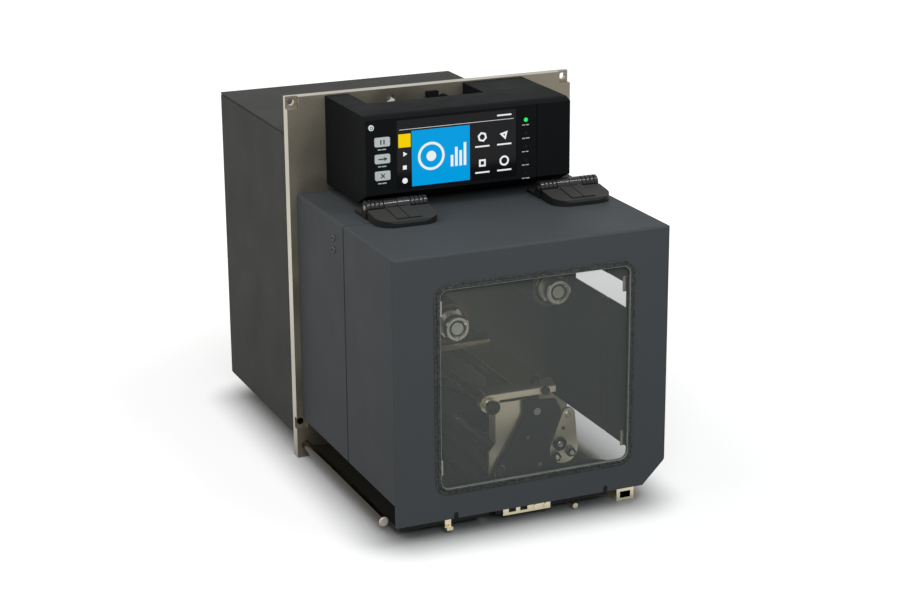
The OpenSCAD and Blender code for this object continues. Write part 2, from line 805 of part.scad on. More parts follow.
// Fan hub and pitched blades
module fan_rotor() {
    y0 = fan_y0 + 4 + running_gap;
    y1 = fan_y1 - 2;
    blade_t = 1.2;
    chord = 12;
    pitch = 35;
    color(black) difference() {
        union() {
            rod_y(fan_at, y0, y1, fan_hub);
            for (i = [0:blade_count - 1]) {
                translate([fan_at[0], (y0 + y1) / 2, fan_at[1]]) rotate([0, 360 * i / blade_count, 0])
                    rotate([pitch, 0, 0]) block([fan_hub / 2 - over, fan_bore / 2 - 1.2],
                        [-blade_t / 2, blade_t / 2], [-chord / 2, chord / 2]);
            }
        }
        rod_y(fan_at, y0 - over, fan_y1 - 3 + running_gap, pin_d - 1 + 2 * shaft_clearance);
    }
}

// Main circuit board on standoffs from the housing's left wall
module main_board() {
    color([0.1, 0.35, 0.2]) {
        block([board_x0, board_x1], [board_y0, board_y1], [board_z0, board_z1]);
        for (y = [board_y0 + standoff_edge, board_y1 - port_room]) {
            for (z = [board_z0 + standoff_edge, board_z1 - standoff_edge]) {
                rod_x([y, z], rear_x0 + sheet_t, board_x0, standoff_d);
            }
        }
        for (i = [0:4]) {
            rod_x([board_y0 + 2 * standoff_edge, board_z0 + (i + 1) * capacitor_pitch],
                board_x1, board_x1 + capacitor_h, capacitor_d);
        }
        block([board_x1, board_x1 + sink_t], [chip_y0, chip_y0 + sink_w], [sink_z0, sink_z0 + sink_h]);
        block([board_x1, board_x1 + chip_t], [chip_y0, chip_y0 + chip_w], [chip_z0, chip_z0 + chip_w]);
    }
}

// Power supply in its own cage on the housing floor
module power_supply() {
    supply_w = 70;
    supply_l = 110;
    supply_h = 42;
    x1 = rear_x1 - sheet_t - 3;
    y0 = plate_back + 20;
    z0 = rear_z + sheet_t;
    color(steel) difference() {
        block([x1 - supply_w, x1], [y0, y0 + supply_l], [z0, z0 + supply_h]);
        for (i = [0:8]) {
            block([x1 - supply_w + 8, x1 - 8], [y0 + 12 + i * 10, y0 + 16 + i * 10],
                [z0 + supply_h - 2, z0 + supply_h + over]);
        }
    }
}

// Stepping motor behind the plate, its pilot in the plate and its shaft in front
module drive_motor() {
    h = motor_w / 2;
    c = 4;
    color(rubber) {
        slab_y(plate_back, plate_back + motor_len) translate(motor_at)
            polygon([for (a = [0:90:270], p = [[h, -h + c], [h, h - c]])
                [p[0] * cos(a) - p[1] * sin(a), p[0] * sin(a) + p[1] * cos(a)]]);
        rod_y(motor_at, plate_back - 2, plate_back, motor_pilot_d);
        rod_y(motor_at, fy(belt_d0 + belt_w), plate_back - 2, motor_shaft_d);
    }
}

// Flanged belt pulley between two depths
module pulley(at, d) {
    flange = 2;
    rod_y(at, fy(belt_d0 + belt_w), fy(belt_d0), d);
    for (s = [belt_d0 - 1.5, belt_d0 + belt_w]) rod_y(at, fy(s + 1.5), fy(s), d + 2 * flange);
}

// Pulley on the motor shaft
module motor_pulley() {
    color(steel) difference() {
        pulley(motor_at, motor_pulley_d);
        rod_y(motor_at, fy(belt_d0 + belt_w + 0.2), plate_y, motor_shaft_d + 2 * shaft_clearance);
    }
}

// Belt round the motor, platen and feed pulleys
module belt_outline(extra) {
    hull() {
        translate(motor_at) circle(d = motor_pulley_d + 2 * extra, $fn = 32);
        translate(platen_at) circle(d = pulley_d + 2 * extra, $fn = 32);
        translate(feed_at) circle(d = pulley_d + 2 * extra, $fn = 32);
    }
}

module drive_belt() {
    edge = 0.3;
    color(black) slab_y(fy(belt_d0 + belt_w - edge), fy(belt_d0 + edge)) difference() {
        belt_outline(belt_gap + belt_t);
        belt_outline(belt_gap);
    }
}

// Ribbon motor on posts behind the plate
module ribbon_motor() {
    post_d = 6;
    color(rubber) {
        rod_y(pinion_at, ribbon_motor_y, ribbon_motor_y + ribbon_motor_len, ribbon_motor_d);
        slab_y(ribbon_motor_y - 2, ribbon_motor_y) translate(pinion_at) difference() {
            circle(d = ribbon_motor_d + 14);
            circle(d = 8);
        }
        rod_y(pinion_at, gear_y0, ribbon_motor_y, 4);
        for (a = [-150, -30, 30]) {
            rod_y(pinion_at + (ribbon_motor_d / 2 + 3) * [cos(a), sin(a)],
                plate_back, ribbon_motor_y - 2, post_d);
        }
    }
}

// Pinion on the ribbon motor's shaft
module takeup_pinion() {
    color(steel) difference() {
        slab_y(gear_y0, gear_y0 + gear_w) translate(pinion_at)
            polygon(gear_points(pinion_teeth, gear_module, 180 + pinion_angle + 180 / pinion_teeth));
        rod_y(pinion_at, gear_y0 - over, gear_y0 + gear_w + over, 4 + 2 * shaft_clearance);
    }
}

// Flanged bearings of the two spindles, pressed into the plate
module spindle_bearings() {
    flange_t = 1.5;
    color(steel) for (p = [supply_at, takeup_at]) difference() {
        union() {
            rod_y(p, plate_y, plate_back, bearing_d);
            rod_y(p, plate_y - flange_t, plate_y, bearing_d + 3);
        }
        rod_y(p, plate_y - flange_t - over, plate_back + over, spindle_shaft_d + 2 * shaft_clearance);
    }
}

// Folded sheet outline: two side walls and a top, in XZ
function cover_profile(left_bottom, right_bottom) = concat(
    [[cover_x0, left_bottom]],
    arc([cover_x0 + bend_r, cover_top - bend_r], bend_r, 180, 90, 4),
    arc([cover_x1 - bend_r, cover_top - bend_r], bend_r, 90, 0, 4),
    [[cover_x1, right_bottom], [inner_x1, right_bottom]],
    arc([cover_x1 - bend_r, cover_top - bend_r], bend_r - sheet_t, 0, 90, 4),
    arc([cover_x0 + bend_r, cover_top - bend_r], bend_r - sheet_t, 90, 180, 4),
    [[inner_x0, left_bottom]]);

// Slot through the right walls of cover and door
module side_slot() {
    block([inner_x1 - over, cover_x1 + over], [fy(slot_front_d), fy(slot_back_d)],
        [slot_z - slot_h / 2, slot_z + slot_h / 2]);
}

// Fixed cover between plate and door
module front_cover() {
    color(charcoal) difference() {
        slab_y(fy(seam_d), plate_y) polygon(cover_profile(cover_bottom, exit_z));
        side_slot();
    }
}

// Door: front sheet with side walls and a top, bent at every edge
module door_panel() {
    seam_y = fy(door_seam_d);
    left = cover_x0 + bend_r;
    right = cover_x1 - bend_r;
    top = cover_top - bend_r;
    wall_y = door_y + bend_r;
    color(charcoal) difference() {
        intersection() {
            slab_y(door_y, seam_y) polygon(concat([[cover_x0, door_bottom]],
                arc([left, top], bend_r, 180, 90, 4), arc([right, top], bend_r, 90, 0, 4),
                [[cover_x1, door_bottom]]));
            slab_z(0, plate_h) polygon(concat([[cover_x0, seam_y]],
                arc([left, wall_y], bend_r, 180, 270, 4), arc([right, wall_y], bend_r, 270, 360, 4),
                [[cover_x1, seam_y]]));
            slab_x(cover_x0 - over, cover_x1 + over) polygon(concat([[door_y, 0]],
                arc([wall_y, top], bend_r, 180, 90, 4), [[seam_y, cover_top], [seam_y, 0]]));
        }
        slab_y(door_y + sheet_t, seam_y + over) polygon(concat([[inner_x0, 0]],
            arc([left, top], bend_r - sheet_t, 180, 90, 4), arc([right, top], bend_r - sheet_t, 90, 0, 4),
            [[inner_x1, 0]]));
        block([cover_x0 - over, inner_x0 + over], [wall_y, seam_y + over], [0, cover_bottom]);
        slab_y(door_y - over, wall_y) polygon([[cover_x1 - door_chamfer, door_bottom],
            [cover_x1, door_right_bottom], [cover_x1 + over, door_right_bottom], [cover_x1 + over, 0],
            [cover_x1 - door_chamfer, 0]]);
        slab_x(inner_x1 - over, cover_x1 + over) polygon([[wall_y - over, 0],
            [wall_y - over, door_right_bottom], [wall_y, door_right_bottom],
            [wall_y + door_right_bottom - exit_z, exit_z], [seam_y + over, exit_z], [seam_y + over, 0]]);
        for (x = notch_at) {
            rod_y([x, door_bottom + notch_h - notch_w / 2], door_y - over, door_y + bend_r, notch_w);
            block([x - notch_w / 2, x + notch_w / 2], [door_y - over, door_y + bend_r],
                [door_bottom - over, door_bottom + notch_h - notch_w / 2]);
        }
        slab_y(door_y - over, fy(pane_d1) + over) polygon(round_rect(
            [window_x0 + trim_lip, window_z0 + trim_lip], [window_x1 - trim_lip, window_z1 - trim_lip],
            window_r - trim_lip));
        side_slot();
    }
}

// Bead round the window: a lip outside the sheet and a sleeve through it
module window_trim() {
    sleeve = trim_lip + fit_gap;
    color(black) difference() {
        union() {
            slab_y(door_y - trim_proud, door_y)
                polygon(round_rect([window_x0, window_z0], [window_x1, window_z1], window_r));
            slab_y(door_y, fy(pane_d1)) polygon(round_rect([window_x0 + sleeve, window_z0 + sleeve],
                [window_x1 - sleeve, window_z1 - sleeve], window_r - sleeve));
        }
        slab_y(door_y - trim_proud - over, fy(pane_d1) + over)
            polygon(round_rect([window_x0 + trim_w, window_z0 + trim_w],
                [window_x1 - trim_w, window_z1 - trim_w], window_r - trim_w));
    }
}

// Smoky pane behind the door sheet
module window_pane() {
    color([0.3, 0.32, 0.3, 0.5]) slab_y(fy(pane_d1), fy(pane_d0))
        polygon(round_rect([window_x0 - pane_lap, window_z0 - pane_lap],
            [window_x1 + pane_lap, window_z1 + pane_lap], window_r));
}

// Clips that hold the pane to the door sheet at its corners
module pane_clips() {
    reach = 5;
    color(steel) for (sx = [-1, 1], sz = [-1, 1]) {
        x = window_x + sx * (window_w / 2 + pane_lap);
        z = window_z + sz * (window_h / 2 - 20);
        xs = sx < 0 ? [x - reach, x] : [x, x + reach];
        lap = sx < 0 ? [x - reach, x + clip_size] : [x - clip_size, x + reach];
        block(xs, [fy(pane_d1), fy(pane_d0)], [z - clip_size / 2, z + clip_size / 2]);
        block(lap, [fy(pane_d0), fy(pane_d0 - clip_t)], [z - clip_size / 2, z + clip_size / 2]);
    }
}

// Fixed half of a hinge: foot under the panel and two ribbed barrels
module hinge_base(x) {
    y = fy(hinge_d);
    rib = hinge_w / 2 - barrel_w / 2 - knuckle_gap;
    color(black) difference() {
        union() {
            block([x - hinge_w / 2, x + hinge_w / 2],
                [y + barrel_d / 2 + knuckle_gap, y + barrel_d / 2 + foot_reach],
                [cover_top, cover_top + foot_t]);
            for (s = [-1, 1]) {
                x0 = s < 0 ? x - hinge_w / 2 : x + barrel_w / 2 + knuckle_gap;
                rod_x([y, hinge_z], x0, x0 + rib, barrel_d - 1);
                for (i = [0:rib_count - 1]) {
                    rod_x([y, hinge_z], x0 + rib * (i + 0.15) / rib_count,
                        x0 + rib * (i + 0.85) / rib_count, barrel_d);
                }
                block([x0, x0 + rib], [y - barrel_d / 4, y + barrel_d / 2 + 1],
                    [cover_top, hinge_z - barrel_d / 4]);
            }
        }
        rod_x([y, hinge_z], x - hinge_w, x + hinge_w, pin_d + 2 * fit_gap);
    }
}

module hinge_base_left() {
    hinge_base(hinge_left_x);
}

module hinge_base_right() {
    hinge_base(hinge_right_x);
}

// Friction pins through the barrels
module hinge_pins() {
    color(steel) for (x = hinge_at) rod_x([fy(hinge_d), hinge_z], x - hinge_w / 2, x + hinge_w / 2, pin_d);
}

// Height of a hinge leaf's sloping top
function leaf_z(y) = leaf_back_z - leaf_slope * (leaf_back_y - y);

// Door half of a hinge: barrel in two parts and a wedge with round front corners and two screw covers
module hinge_leaf(x) {
    y = fy(hinge_d);
    low = cover_top + hinge_clear;
    step = fy(door_seam_d + 0.6);
    edge_y = leaf_front_y + leaf_t / 3;
    side = hinge_w / 2;
    corner = side - leaf_round;
    pad_y0 = leaf_front_y + leaf_round / 3;
    pad_y1 = leaf_back_y - leaf_gap;
    color(black) difference() {
        union() {
            for (s = [-1, 1]) {
                x0 = s < 0 ? x - barrel_w / 2 : x + knuckle_gap / 2;
                rod_x([y, hinge_z], x0, x0 + (barrel_w - knuckle_gap) / 2, barrel_d);
            }
            slab_x(x - barrel_w / 2, x + barrel_w / 2) polygon([[y, hinge_z], [y - barrel_d / 2, hinge_z],
                [leaf_back_y, leaf_back_z], [leaf_back_y - over, low], [y, low]]);
            intersection() {
                slab_x(x - side, x + side) polygon([[leaf_back_y, low], [leaf_back_y, leaf_back_z],
                    [edge_y, leaf_z(edge_y)], [leaf_front_y, cover_top + leaf_t * 2 / 3],
                    [leaf_front_y, cover_top], [step, cover_top], [step, low]]);
                slab_z(0, plate_h) polygon(concat([[x + side, leaf_back_y], [x - side, leaf_back_y]],
                    arc([x - corner, leaf_front_y + leaf_round], leaf_round, 180, 270),
                    arc([x + corner, leaf_front_y + leaf_round], leaf_round, 270, 360)));
            }
            for (s = [-1, 1]) {
                pad_x = x + s * (pad_w + pad_gap) / 2;
                slab_x(pad_x - pad_w / 2, pad_x + pad_w / 2) polygon([[pad_y0, leaf_z(pad_y0) - over],
                    [pad_y0, leaf_z(pad_y0) + pad_t], [pad_y1, leaf_z(pad_y1) + pad_t],
                    [pad_y1, leaf_z(pad_y1) - over]]);
            }
        }
        rod_x([y, hinge_z], x - hinge_w, x + hinge_w, pin_d + 2 * shaft_clearance);
    }
}

module hinge_leaf_left() {
    hinge_leaf(hinge_left_x);
}

module hinge_leaf_right() {
    hinge_leaf(hinge_right_x);
}

// Side outline of the control panel between two depths, in YZ
module panel_outline(d0, d1) {
    intersection() {
        polygon([[fy(0), panel_top], [fy(panel_d - bevel_d), panel_top], [fy(panel_d), face_top],
            [fy(panel_d), face_bottom], [fy(chin_d), chin_z], [fy(0), chin_z]]);
        translate([fy(d1), 0]) square([d1 - d0, plate_h]);
    }
}

// Rear bracket: two arms from the plate, open between them
module panel_bracket() {
    gap_x0 = panel_x0 + left_arm_w;
    gap_x1 = panel_x1 - right_arm_w;
    color(black) for (arm = [[panel_x0, gap_x0], [gap_x1, panel_x1]]) difference() {
        slab_x(arm[0], arm[1]) panel_outline(0, panel_split_d);
        block([arm[0] + panel_wall, arm[1] - panel_wall], [fy(panel_split_d) - over, fy(panel_wall)],
            [chin_z - over, panel_top - panel_wall]);
    }
}

// Front housing of the panel with posts for its board
module panel_housing() {
    color(black) {
        difference() {
            slab_x(panel_x0, panel_x1) panel_outline(panel_split_d, bezel_back_d);
            block([panel_x0 + panel_wall, panel_x1 - panel_wall],
                [fy(bezel_back_d) - over, fy(panel_split_d + panel_wall)],
                [face_bottom + panel_wall, face_top - panel_wall]);
        }
        for (x = [panel_x0 + 24, panel_x1 - 24], z = [face_bottom + 8, face_top - 8]) {
            rod_y([x, z], fy(board_front_d - board_t), fy(panel_split_d + panel_wall), 6);
        }
    }
}

// Front bezel with openings for display, keys and lights, and the groove of the blank end
module panel_bezel() {
    groove = 0.6;
    color(black) difference() {
        slab_x(panel_x0, panel_x1) panel_outline(bezel_back_d, panel_d);
        screen_block(key_clearance, bezel_back_d - over, panel_d + over);
        for (dz = keys) key_block(dz, key_clearance, bezel_back_d - over, panel_d + over);
        rod_y([panel_x0 + power_key_inset, power_key_z], fy(panel_d + over), fy(bezel_back_d - over),
            power_key_d + 2 * key_clearance);
        for (i = [-2:2]) {
            rod_y([panel_x0 + light_inset, light_z + i * light_pitch],
                fy(panel_d + over), fy(bezel_back_d - over), light_d + 2 * key_clearance);
        }
        block([panel_x0 + light_inset + 9 - groove / 2, panel_x0 + light_inset + 9 + groove / 2],
            [fy(panel_d) - over, fy(panel_d - groove)], [face_bottom - over, panel_top + over]);
    }
}

// Prism of the display between two depths, grown by a margin
module screen_block(grow, d0, d1) {
    block([screen_x0 - grow, screen_x0 + screen_w + grow], [fy(d1), fy(d0)],
        [screen_z0 - grow, screen_z0 + screen_h + grow]);
}

// Prism of one key between two depths, grown by a margin
module key_block(dz, grow, d0, d1) {
    slab_y(fy(d1), fy(d0)) polygon(round_rect([key_x - key_w / 2 - grow, key_z + dz - key_h / 2 - grow],
        [key_x + key_w / 2 + grow, key_z + dz + key_h / 2 + grow], 1.2 + grow, 4));
}

// Display on the panel board
module display_screen() {
    color([0.03, 0.03, 0.04]) screen_block(0, board_front_d, panel_d - 0.3);
}

// Light pipes from the panel board through the bezel
module status_lights() {
    color([0.5, 0.55, 0.5]) for (i = [-2:2]) {
        rod_y([panel_x0 + light_inset, light_z + i * light_pitch], fy(panel_d), fy(board_front_d), light_d);
    }
}

// Circuit board of the panel
module panel_board() {
    color([0.1, 0.35, 0.2]) block([panel_x0 + panel_wall + over, panel_x1 - panel_wall - over],
        [fy(board_front_d), fy(board_front_d - board_t)],
        [face_bottom + panel_wall + over, face_top - panel_wall - over]);
}

// Cable from the plate to the panel, with its grommet block
module panel_cable() {
    color(black) {
        groove_r = cable_d / 2 - conduit_groove;
        grommet_x1 = cable_x - cable_d / 2 - grommet_gap;
        difference() {
            rod_y([cable_x, cable_z], fy(panel_split_d), plate_back, cable_d);
            for (d = [conduit_pitch:conduit_pitch:panel_split_d - conduit_pitch / 2]) {
                turned([cable_x, cable_z], [[groove_r, d], [cable_d, d], [cable_d, d + conduit_pitch / 3],
                    [groove_r, d + conduit_pitch / 3]]);
            }
        }
        block([grommet_x1 - grommet_w, grommet_x1], [fy(grommet_t), plate_y],
            [cable_z - grommet_h / 3, cable_z + grommet_h * 2 / 3]);
    }
}

// Key: cap through the bezel, flange behind it and stem above the switch
module key(dz) {
    color([0.78, 0.78, 0.76]) {
        key_block(dz, 0, flange_d1, panel_d + key_proud);
        key_block(dz, key_clearance + key_flange, flange_d0, flange_d1);
        rod_y([key_x, key_z + dz], fy(flange_d0), fy(flange_d0 - key_stem), 4);
    }
}

module pause_button() {
    key(keys[0]);
}

module feed_button() {
    key(keys[1]);
}

module cancel_button() {
    key(keys[2]);
}

module power_button() {
    at = [panel_x0 + power_key_inset, power_key_z];
    color([0.78, 0.78, 0.76]) {
        rod_y(at, fy(panel_d + key_proud), fy(flange_d1), power_key_d);
        rod_y(at, fy(flange_d1), fy(flange_d0), power_key_d + 2 * key_clearance + key_flange);
        rod_y(at, fy(flange_d0), fy(flange_d0 - key_stem), 3);
    }
}

// Spindle: shaft, stop disc, body with grip springs and a dished end cap with three notches
module spindle(at) {
    r = cap_d / 2;
    stop_r = core_d / 2 + 2.5;
    body_r = core_bore / 2 - 2.5;
    shaft_r = spindle_shaft_d / 2;
    shaft_d0 = -plate_t - 4 - gear_w;
    difference() {
        turned(at, [[0, shaft_d0], [shaft_r, shaft_d0], [shaft_r, core_start_d - 3],
            [stop_r, core_start_d - 3], [stop_r, core_start_d - fit_gap],
            [body_r, core_start_d - fit_gap], [body_r, core_end_d],
            [r - 2, core_end_d], [r - 2, spindle_len - 7], [r, spindle_len - 6], [r, spindle_len - 1],
            [r - 1, spindle_len], [0.7 * r, spindle_len], [0.7 * r - 0.6, spindle_len - 1.2],
            [0, spindle_len - 1.2]]);
        for (a = [90, 210, 330]) {
            translate([at[0], 0, at[1]]) rotate([0, a, 0]) block([0.5 * r, r + over],
                [fy(spindle_len + over), fy(spindle_len - cap_notch_d)], [-cap_notch_w / 2, cap_notch_w / 2]);
        }
    }
    intersection() {
        rod_y(at, fy(core_end_d), fy(core_start_d), core_bore - 2 * spring_gap);
        for (a = [90, 210, 330]) {
            translate([at[0], 0, at[1]]) rotate([0, a, 0]) block([body_r - 1, core_bore / 2],
                [fy(core_end_d - spring_inset), fy(core_start_d + spring_inset)],
                [-spring_w / 2, spring_w / 2]);
        }
    }
}

module supply_spindle() {
    color(steel) {
        spindle(supply_at);
        rod_y(supply_at, gear_y0, gear_y0 + gear_w, bearing_d + 8);
    }
}

module takeup_spindle() {
    color(steel) {
        spindle(takeup_at);
        slab_y(gear_y0, gear_y0 + gear_w) translate(takeup_at)
            polygon(gear_points(gear_teeth, gear_module, pinion_angle));
    }
}

// Card tube on a spindle
module core(at) {
    difference() {
        rod_y(at, fy(core_end_d), fy(core_start_d), core_d);
        rod_y(at, fy(core_end_d + over), fy(core_start_d - over), core_bore);
    }
}

module supply_core() {
    color([0.55, 0.4, 0.25]) core(supply_at);
}

module takeup_core() {
    color([0.42, 0.42, 0.33]) core(takeup_at);
}

// Polished rod that guides the web in, with a stub in the plate
module guide_rod() {
    c = 0.8;
    color(steel) turned(rod_at, [[0, -plate_t], [stub_d / 2, -plate_t], [stub_d / 2, 0], [rod_d / 2, 0],
        [rod_d / 2, rod_len - c], [rod_d / 2 - c, rod_len], [0, rod_len]]);
}

// Outer side plate of the mechanism with its roller bores and the latch stud
module mech_cheek() {
    foot = 1;
    end_x = peel_bracket_x0 + peel_bracket_w + 2;
    color(black) {
        difference() {
            slab_y(fy(cheek_front_d), fy(cheek_d)) polygon([[tie_x - 13.3, tie_z + 8.7],
                [tie_x + 15, tie_z + 5.8], [tie_x + 18.8, tie_z - 2], [latch_x + 8, latch_z + 6],
                [latch_x + 11, latch_z - 8], [platen_x + 12, web_z + 6], [end_x, web_z - 1], [end_x, foot],
                [feed_x - 10, foot], [feed_x - 10, web_z + 2], [feed_x + 3.4, web_z + 23],
                [tie_x - 13.3, tie_z - 2.8]]);
            for (p = [platen_at, feed_at, peel_at]) {
                rod_y(p, fy(cheek_front_d + over), fy(cheek_d - over), roller_bore);
            }
            rod_y(pinch_at, fy(cheek_front_d + over), fy(cheek_d - over), roller_shaft_d + 3);
        }
        rod_y(latch_at, fy(latch_d1 + latch_gap), fy(cheek_front_d), roller_shaft_d);
        rod_y(latch_at, fy(latch_d1 + latch_gap + 1.5), fy(latch_d1 + latch_gap), roller_shaft_d + 3);
    }
}

// Tie bars from plate to cheek, and the shaft that the head swings on
module tie_bars() {
    color(steel) {
        for (p = [tie_at, low_tie_at]) rod_y(p, fy(cheek_d), plate_y, tie_d);
        rod_y(head_at, fy(cheek_front_d), plate_y, head_shaft_d);
        rod_y(head_at, fy(cheek_front_d + 4), fy(cheek_front_d), head_shaft_d + 3);
    }
}

// Bright plate on the cheek's back that carries the pinch roller, with a folded left edge
module pinch_bracket() {
    left = head_x + head_shaft_d / 2 + 0.5;
    fold = 10;
    fold_z = [web_z + 30, head_z - head_shaft_d - 1];
    color(nickel) {
        difference() {
            slab_y(fy(cheek_d), fy(cheek_d - bracket_t)) polygon([[left, tie_z + 8.5],
                [tie_x - 9, tie_z + 8.5], [tie_x - 9, tie_z - 10], [feed_x + 12, web_z + 4],
                [feed_x - 8, web_z + 2],
                [feed_x - 8, web_z + 24], [left, web_z + 30]]);
            rod_y(pinch_at, fy(cheek_d + over), fy(cheek_d - bracket_t - over), roller_bore);
        }
        block([left, left + bracket_t], [fy(cheek_d - bracket_t), fy(cheek_d - bracket_t - fold)], fold_z);
    }
}

// Folded tray in front of the cheek with a break in its front, and a base pan back to the plate
module front_tray() {
    color(black) difference() {
        union() {
            block([tray_x0, tray_x1], [fy(tray_d), fy(cheek_front_d)], [tray_z, tray_z + sheet_t]);
            block([tray_x0, pan_x1], [fy(cheek_front_d), plate_y], [tray_z, tray_z + sheet_t]);
            block([tray_x0, tray_x1], [fy(tray_d), fy(tray_d - sheet_t)],
                [tray_z + sheet_t, tray_z + tray_lip]);
        }
        block(tray_break, [fy(tray_d + over), fy(tray_d - break_d)],
            [tray_z - over, tray_z + tray_lip + over]);
    }
}

// Bright parts under the door: slotted strip and hook on the tray, stud, and the peel bar's foot
module front_brackets() {
    slot = 3;
    strip_z = tray_z - strip_drop;
    front = fy(tray_d + sheet_t);
    head_d = 5;
    foot_x1 = peel_bracket_x0 + peel_bracket_w;
    color(nickel) {
        difference() {
            block([strip_x1 - strip_w, strip_x1], [front, fy(tray_d)], [strip_z, strip_z + strip_h]);
            for (f = [0.12, 0.36]) {
                block([strip_x1 - strip_w * (1 - f), strip_x1 - strip_w * (1 - f) + 2 * slot],
                    [front - over, fy(tray_d) + over], [strip_z + strip_h / 3, strip_z + strip_h + over]);
            }
        }
        for (f = [0.08, 0.3]) {
            difference() {
                rod_y([strip_x1 - strip_w * f, strip_z + strip_h / 2], front - 1.2, front, head_d);
                rod_y([strip_x1 - strip_w * f, strip_z + strip_h / 2], front - 2, front - 0.4, head_d / 2);
            }
        }
        slab_x(hook_x - hook_w / 2, hook_x + hook_w / 2) polygon([[fy(tray_d), tray_z + tray_lip / 2],
            [front, tray_z + tray_lip / 2], [front, tray_z - 2], [front - 2.5, tray_z - 2],
            [front - 2.5, tray_z - 1], [front - 4, tray_z - 1], [front - 4, tray_z - 3.5],
            [fy(tray_d), tray_z - 3.5]]);
        rod_y(stud_at, front, fy(cheek_front_d), 4.4);
        difference() {
            block([peel_bracket_x0, foot_x1], [fy(tray_d), fy(cheek_front_d)], [0, peel_bracket_h]);
            for (f = [0.3, 0.7]) {
                x = peel_bracket_x0 + peel_bracket_w * f;
                block([x - slot / 2, x + slot / 2], [fy(tray_d) - over, fy(tray_d - 12)],
                    [2.4, peel_bracket_h - 2.4]);
            }
        }
    }
}

// Bar with the sharp edge that the web turns over
module peel_bar() {
    x0 = peel_bracket_x0 + 3;
    x1 = peel_bracket_x0 + peel_bracket_w + 1;
    color(steel) slab_y(fy(cheek_d), plate_y)
        polygon([[x0, web_z - 7], [x1 - 4, web_z - 7], [x1, web_z - 5], [x1, web_z - 4.4],
            [x0 + 4, web_z - 3], [x0, web_z - 3]]);
}

// Roller on its shaft from the plate to a depth
module roller(at, d, end_d) {
    rod_y(at, fy(end_d), plate_back - over, roller_shaft_d);
    rod_y(at, fy(roller_d1), fy(roller_d0), d);
}

module platen_roller() {
    color(rubber) {
        roller(platen_at, platen_d, shaft_end_d);
        pulley(platen_at, pulley_d);
    }
}

module feed_roller() {
    color(rubber) {
        roller(feed_at, platen_d, shaft_end_d);
        pulley(feed_at, pulley_d);
    }
}

module pinch_roller() {
    color(rubber) roller(pinch_at, pinch_d, shaft_end_d);
}

module peel_roller() {
    color(steel) roller(peel_at, peel_d, shaft_end_d);
}

// Head bracket: two folded rails on the pivot shaft, a top plate and the wall that carries the head
module head_bracket() {
    lug_r = head_shaft_d / 2 + 3;
    color(nickel) difference() {
        union() {
            for (d = [rear_rail_d0, rail_d0]) {
                d1 = d + rail_depth;
                slab_x(head_x - 3, rail_x1) polygon([[fy(d), rail_z1], [fy(d1 - 2), rail_z1 - 2],
                    [fy(d1), rail_z1 - 3.6], [fy(d1), rail_z0], [fy(d1 - rail_t), rail_z0],
                    [fy(d1 - rail_t), rail_z1 - 4.4], [fy(d), rail_z1 - 2.4]]);
                slab_y(fy(d1 - bracket_t), fy(d + 1))
                    polygon(wrap_two(head_at, lug_r, [head_x + 9, rail_z0 + 2], 2.4));
            }
            block([rail_x1 - 26, rail_x1], [fy(rail_d1 - rail_t / 2), fy(rear_rail_d0)],
                [rail_z0 + 1, rail_z0 + 1 + rail_t]);
            block([wall_x0, wall_x0 + 3], [fy(web_start_d + web_w - 12), fy(web_start_d + 2)],
                [head_z0 + head_h, rail_z0 + 2]);
        }
        rod_y(head_at, fy(cheek_d), fy(0), head_shaft_d + 2 * shaft_clearance);
    }
}

// Print head: finned block with the heater strip under it
module printhead() {
    d0 = web_start_d + 2;
    d1 = web_start_d + web_w - 4;
    strip_t = 2.6;
    fins = 5;
    color([0.4, 0.41, 0.42]) {
        difference() {
            block([wall_x0, wall_x0 + head_w], [fy(d1), fy(d0)], [head_z0 + strip_t, head_z0 + head_h]);
            for (i = [0:fins - 1]) {
                x = wall_x0 + 6 + i * (head_w - 7) / fins;
                block([x, x + 2], [fy(d1) - over, fy(d0) + over],
                    [head_z0 + strip_t + 4, head_z0 + head_h + over]);
            }
        }
        block([platen_x - 8, wall_x0 + head_w], [fy(d1), fy(d0)], [head_z0, head_z0 + strip_t]);
    }
}

// Two knobs that set the head's pressure
module pressure_knobs() {
    knob_d = 7;
    color(black) {
        translate([rail_x1 - 15, fy(rail_d0 + rail_depth / 2 - 1), rail_z0 + rail_h - 1])
            rotate([atan(2 / (rail_depth - 2)), 0, 0]) cylinder(h = 4, d = knob_d);
        rod_y([rail_x1 - 9.4, rail_z0 + knob_d / 2 - 1], fy(rail_d1 + 2.5), fy(rail_d1), knob_d);
    }
}

// Drop-shaped latch plate on its stud
module head_latch() {
    color(nickel) difference() {
        slab_y(fy(latch_d1), fy(latch_d0))
            polygon(wrap_two(latch_foot, latch_foot_r, latch_tip, latch_tip_r));
        rod_y(latch_at, fy(latch_d1 + over), fy(latch_d0 - over), roller_shaft_d + 2 * shaft_clearance);
        rod_y(latch_at + [3.5, 12.1], fy(latch_d1 + over), fy(latch_d0 - over), 3);
    }
}

// Star knobs on the latch plate
module latch_knobs() {
    lobes = 6;
    r = 3.6;
    color(black) for (k = star_knobs) slab_y(fy(latch_d1 + 4), fy(latch_d1)) translate(latch_at + k)
        polygon([for (i = [0:4 * lobes - 1]) let (a = 90 * i / lobes)
            (r + 0.5 * cos(lobes * a)) * [cos(a), sin(a)]]);
}

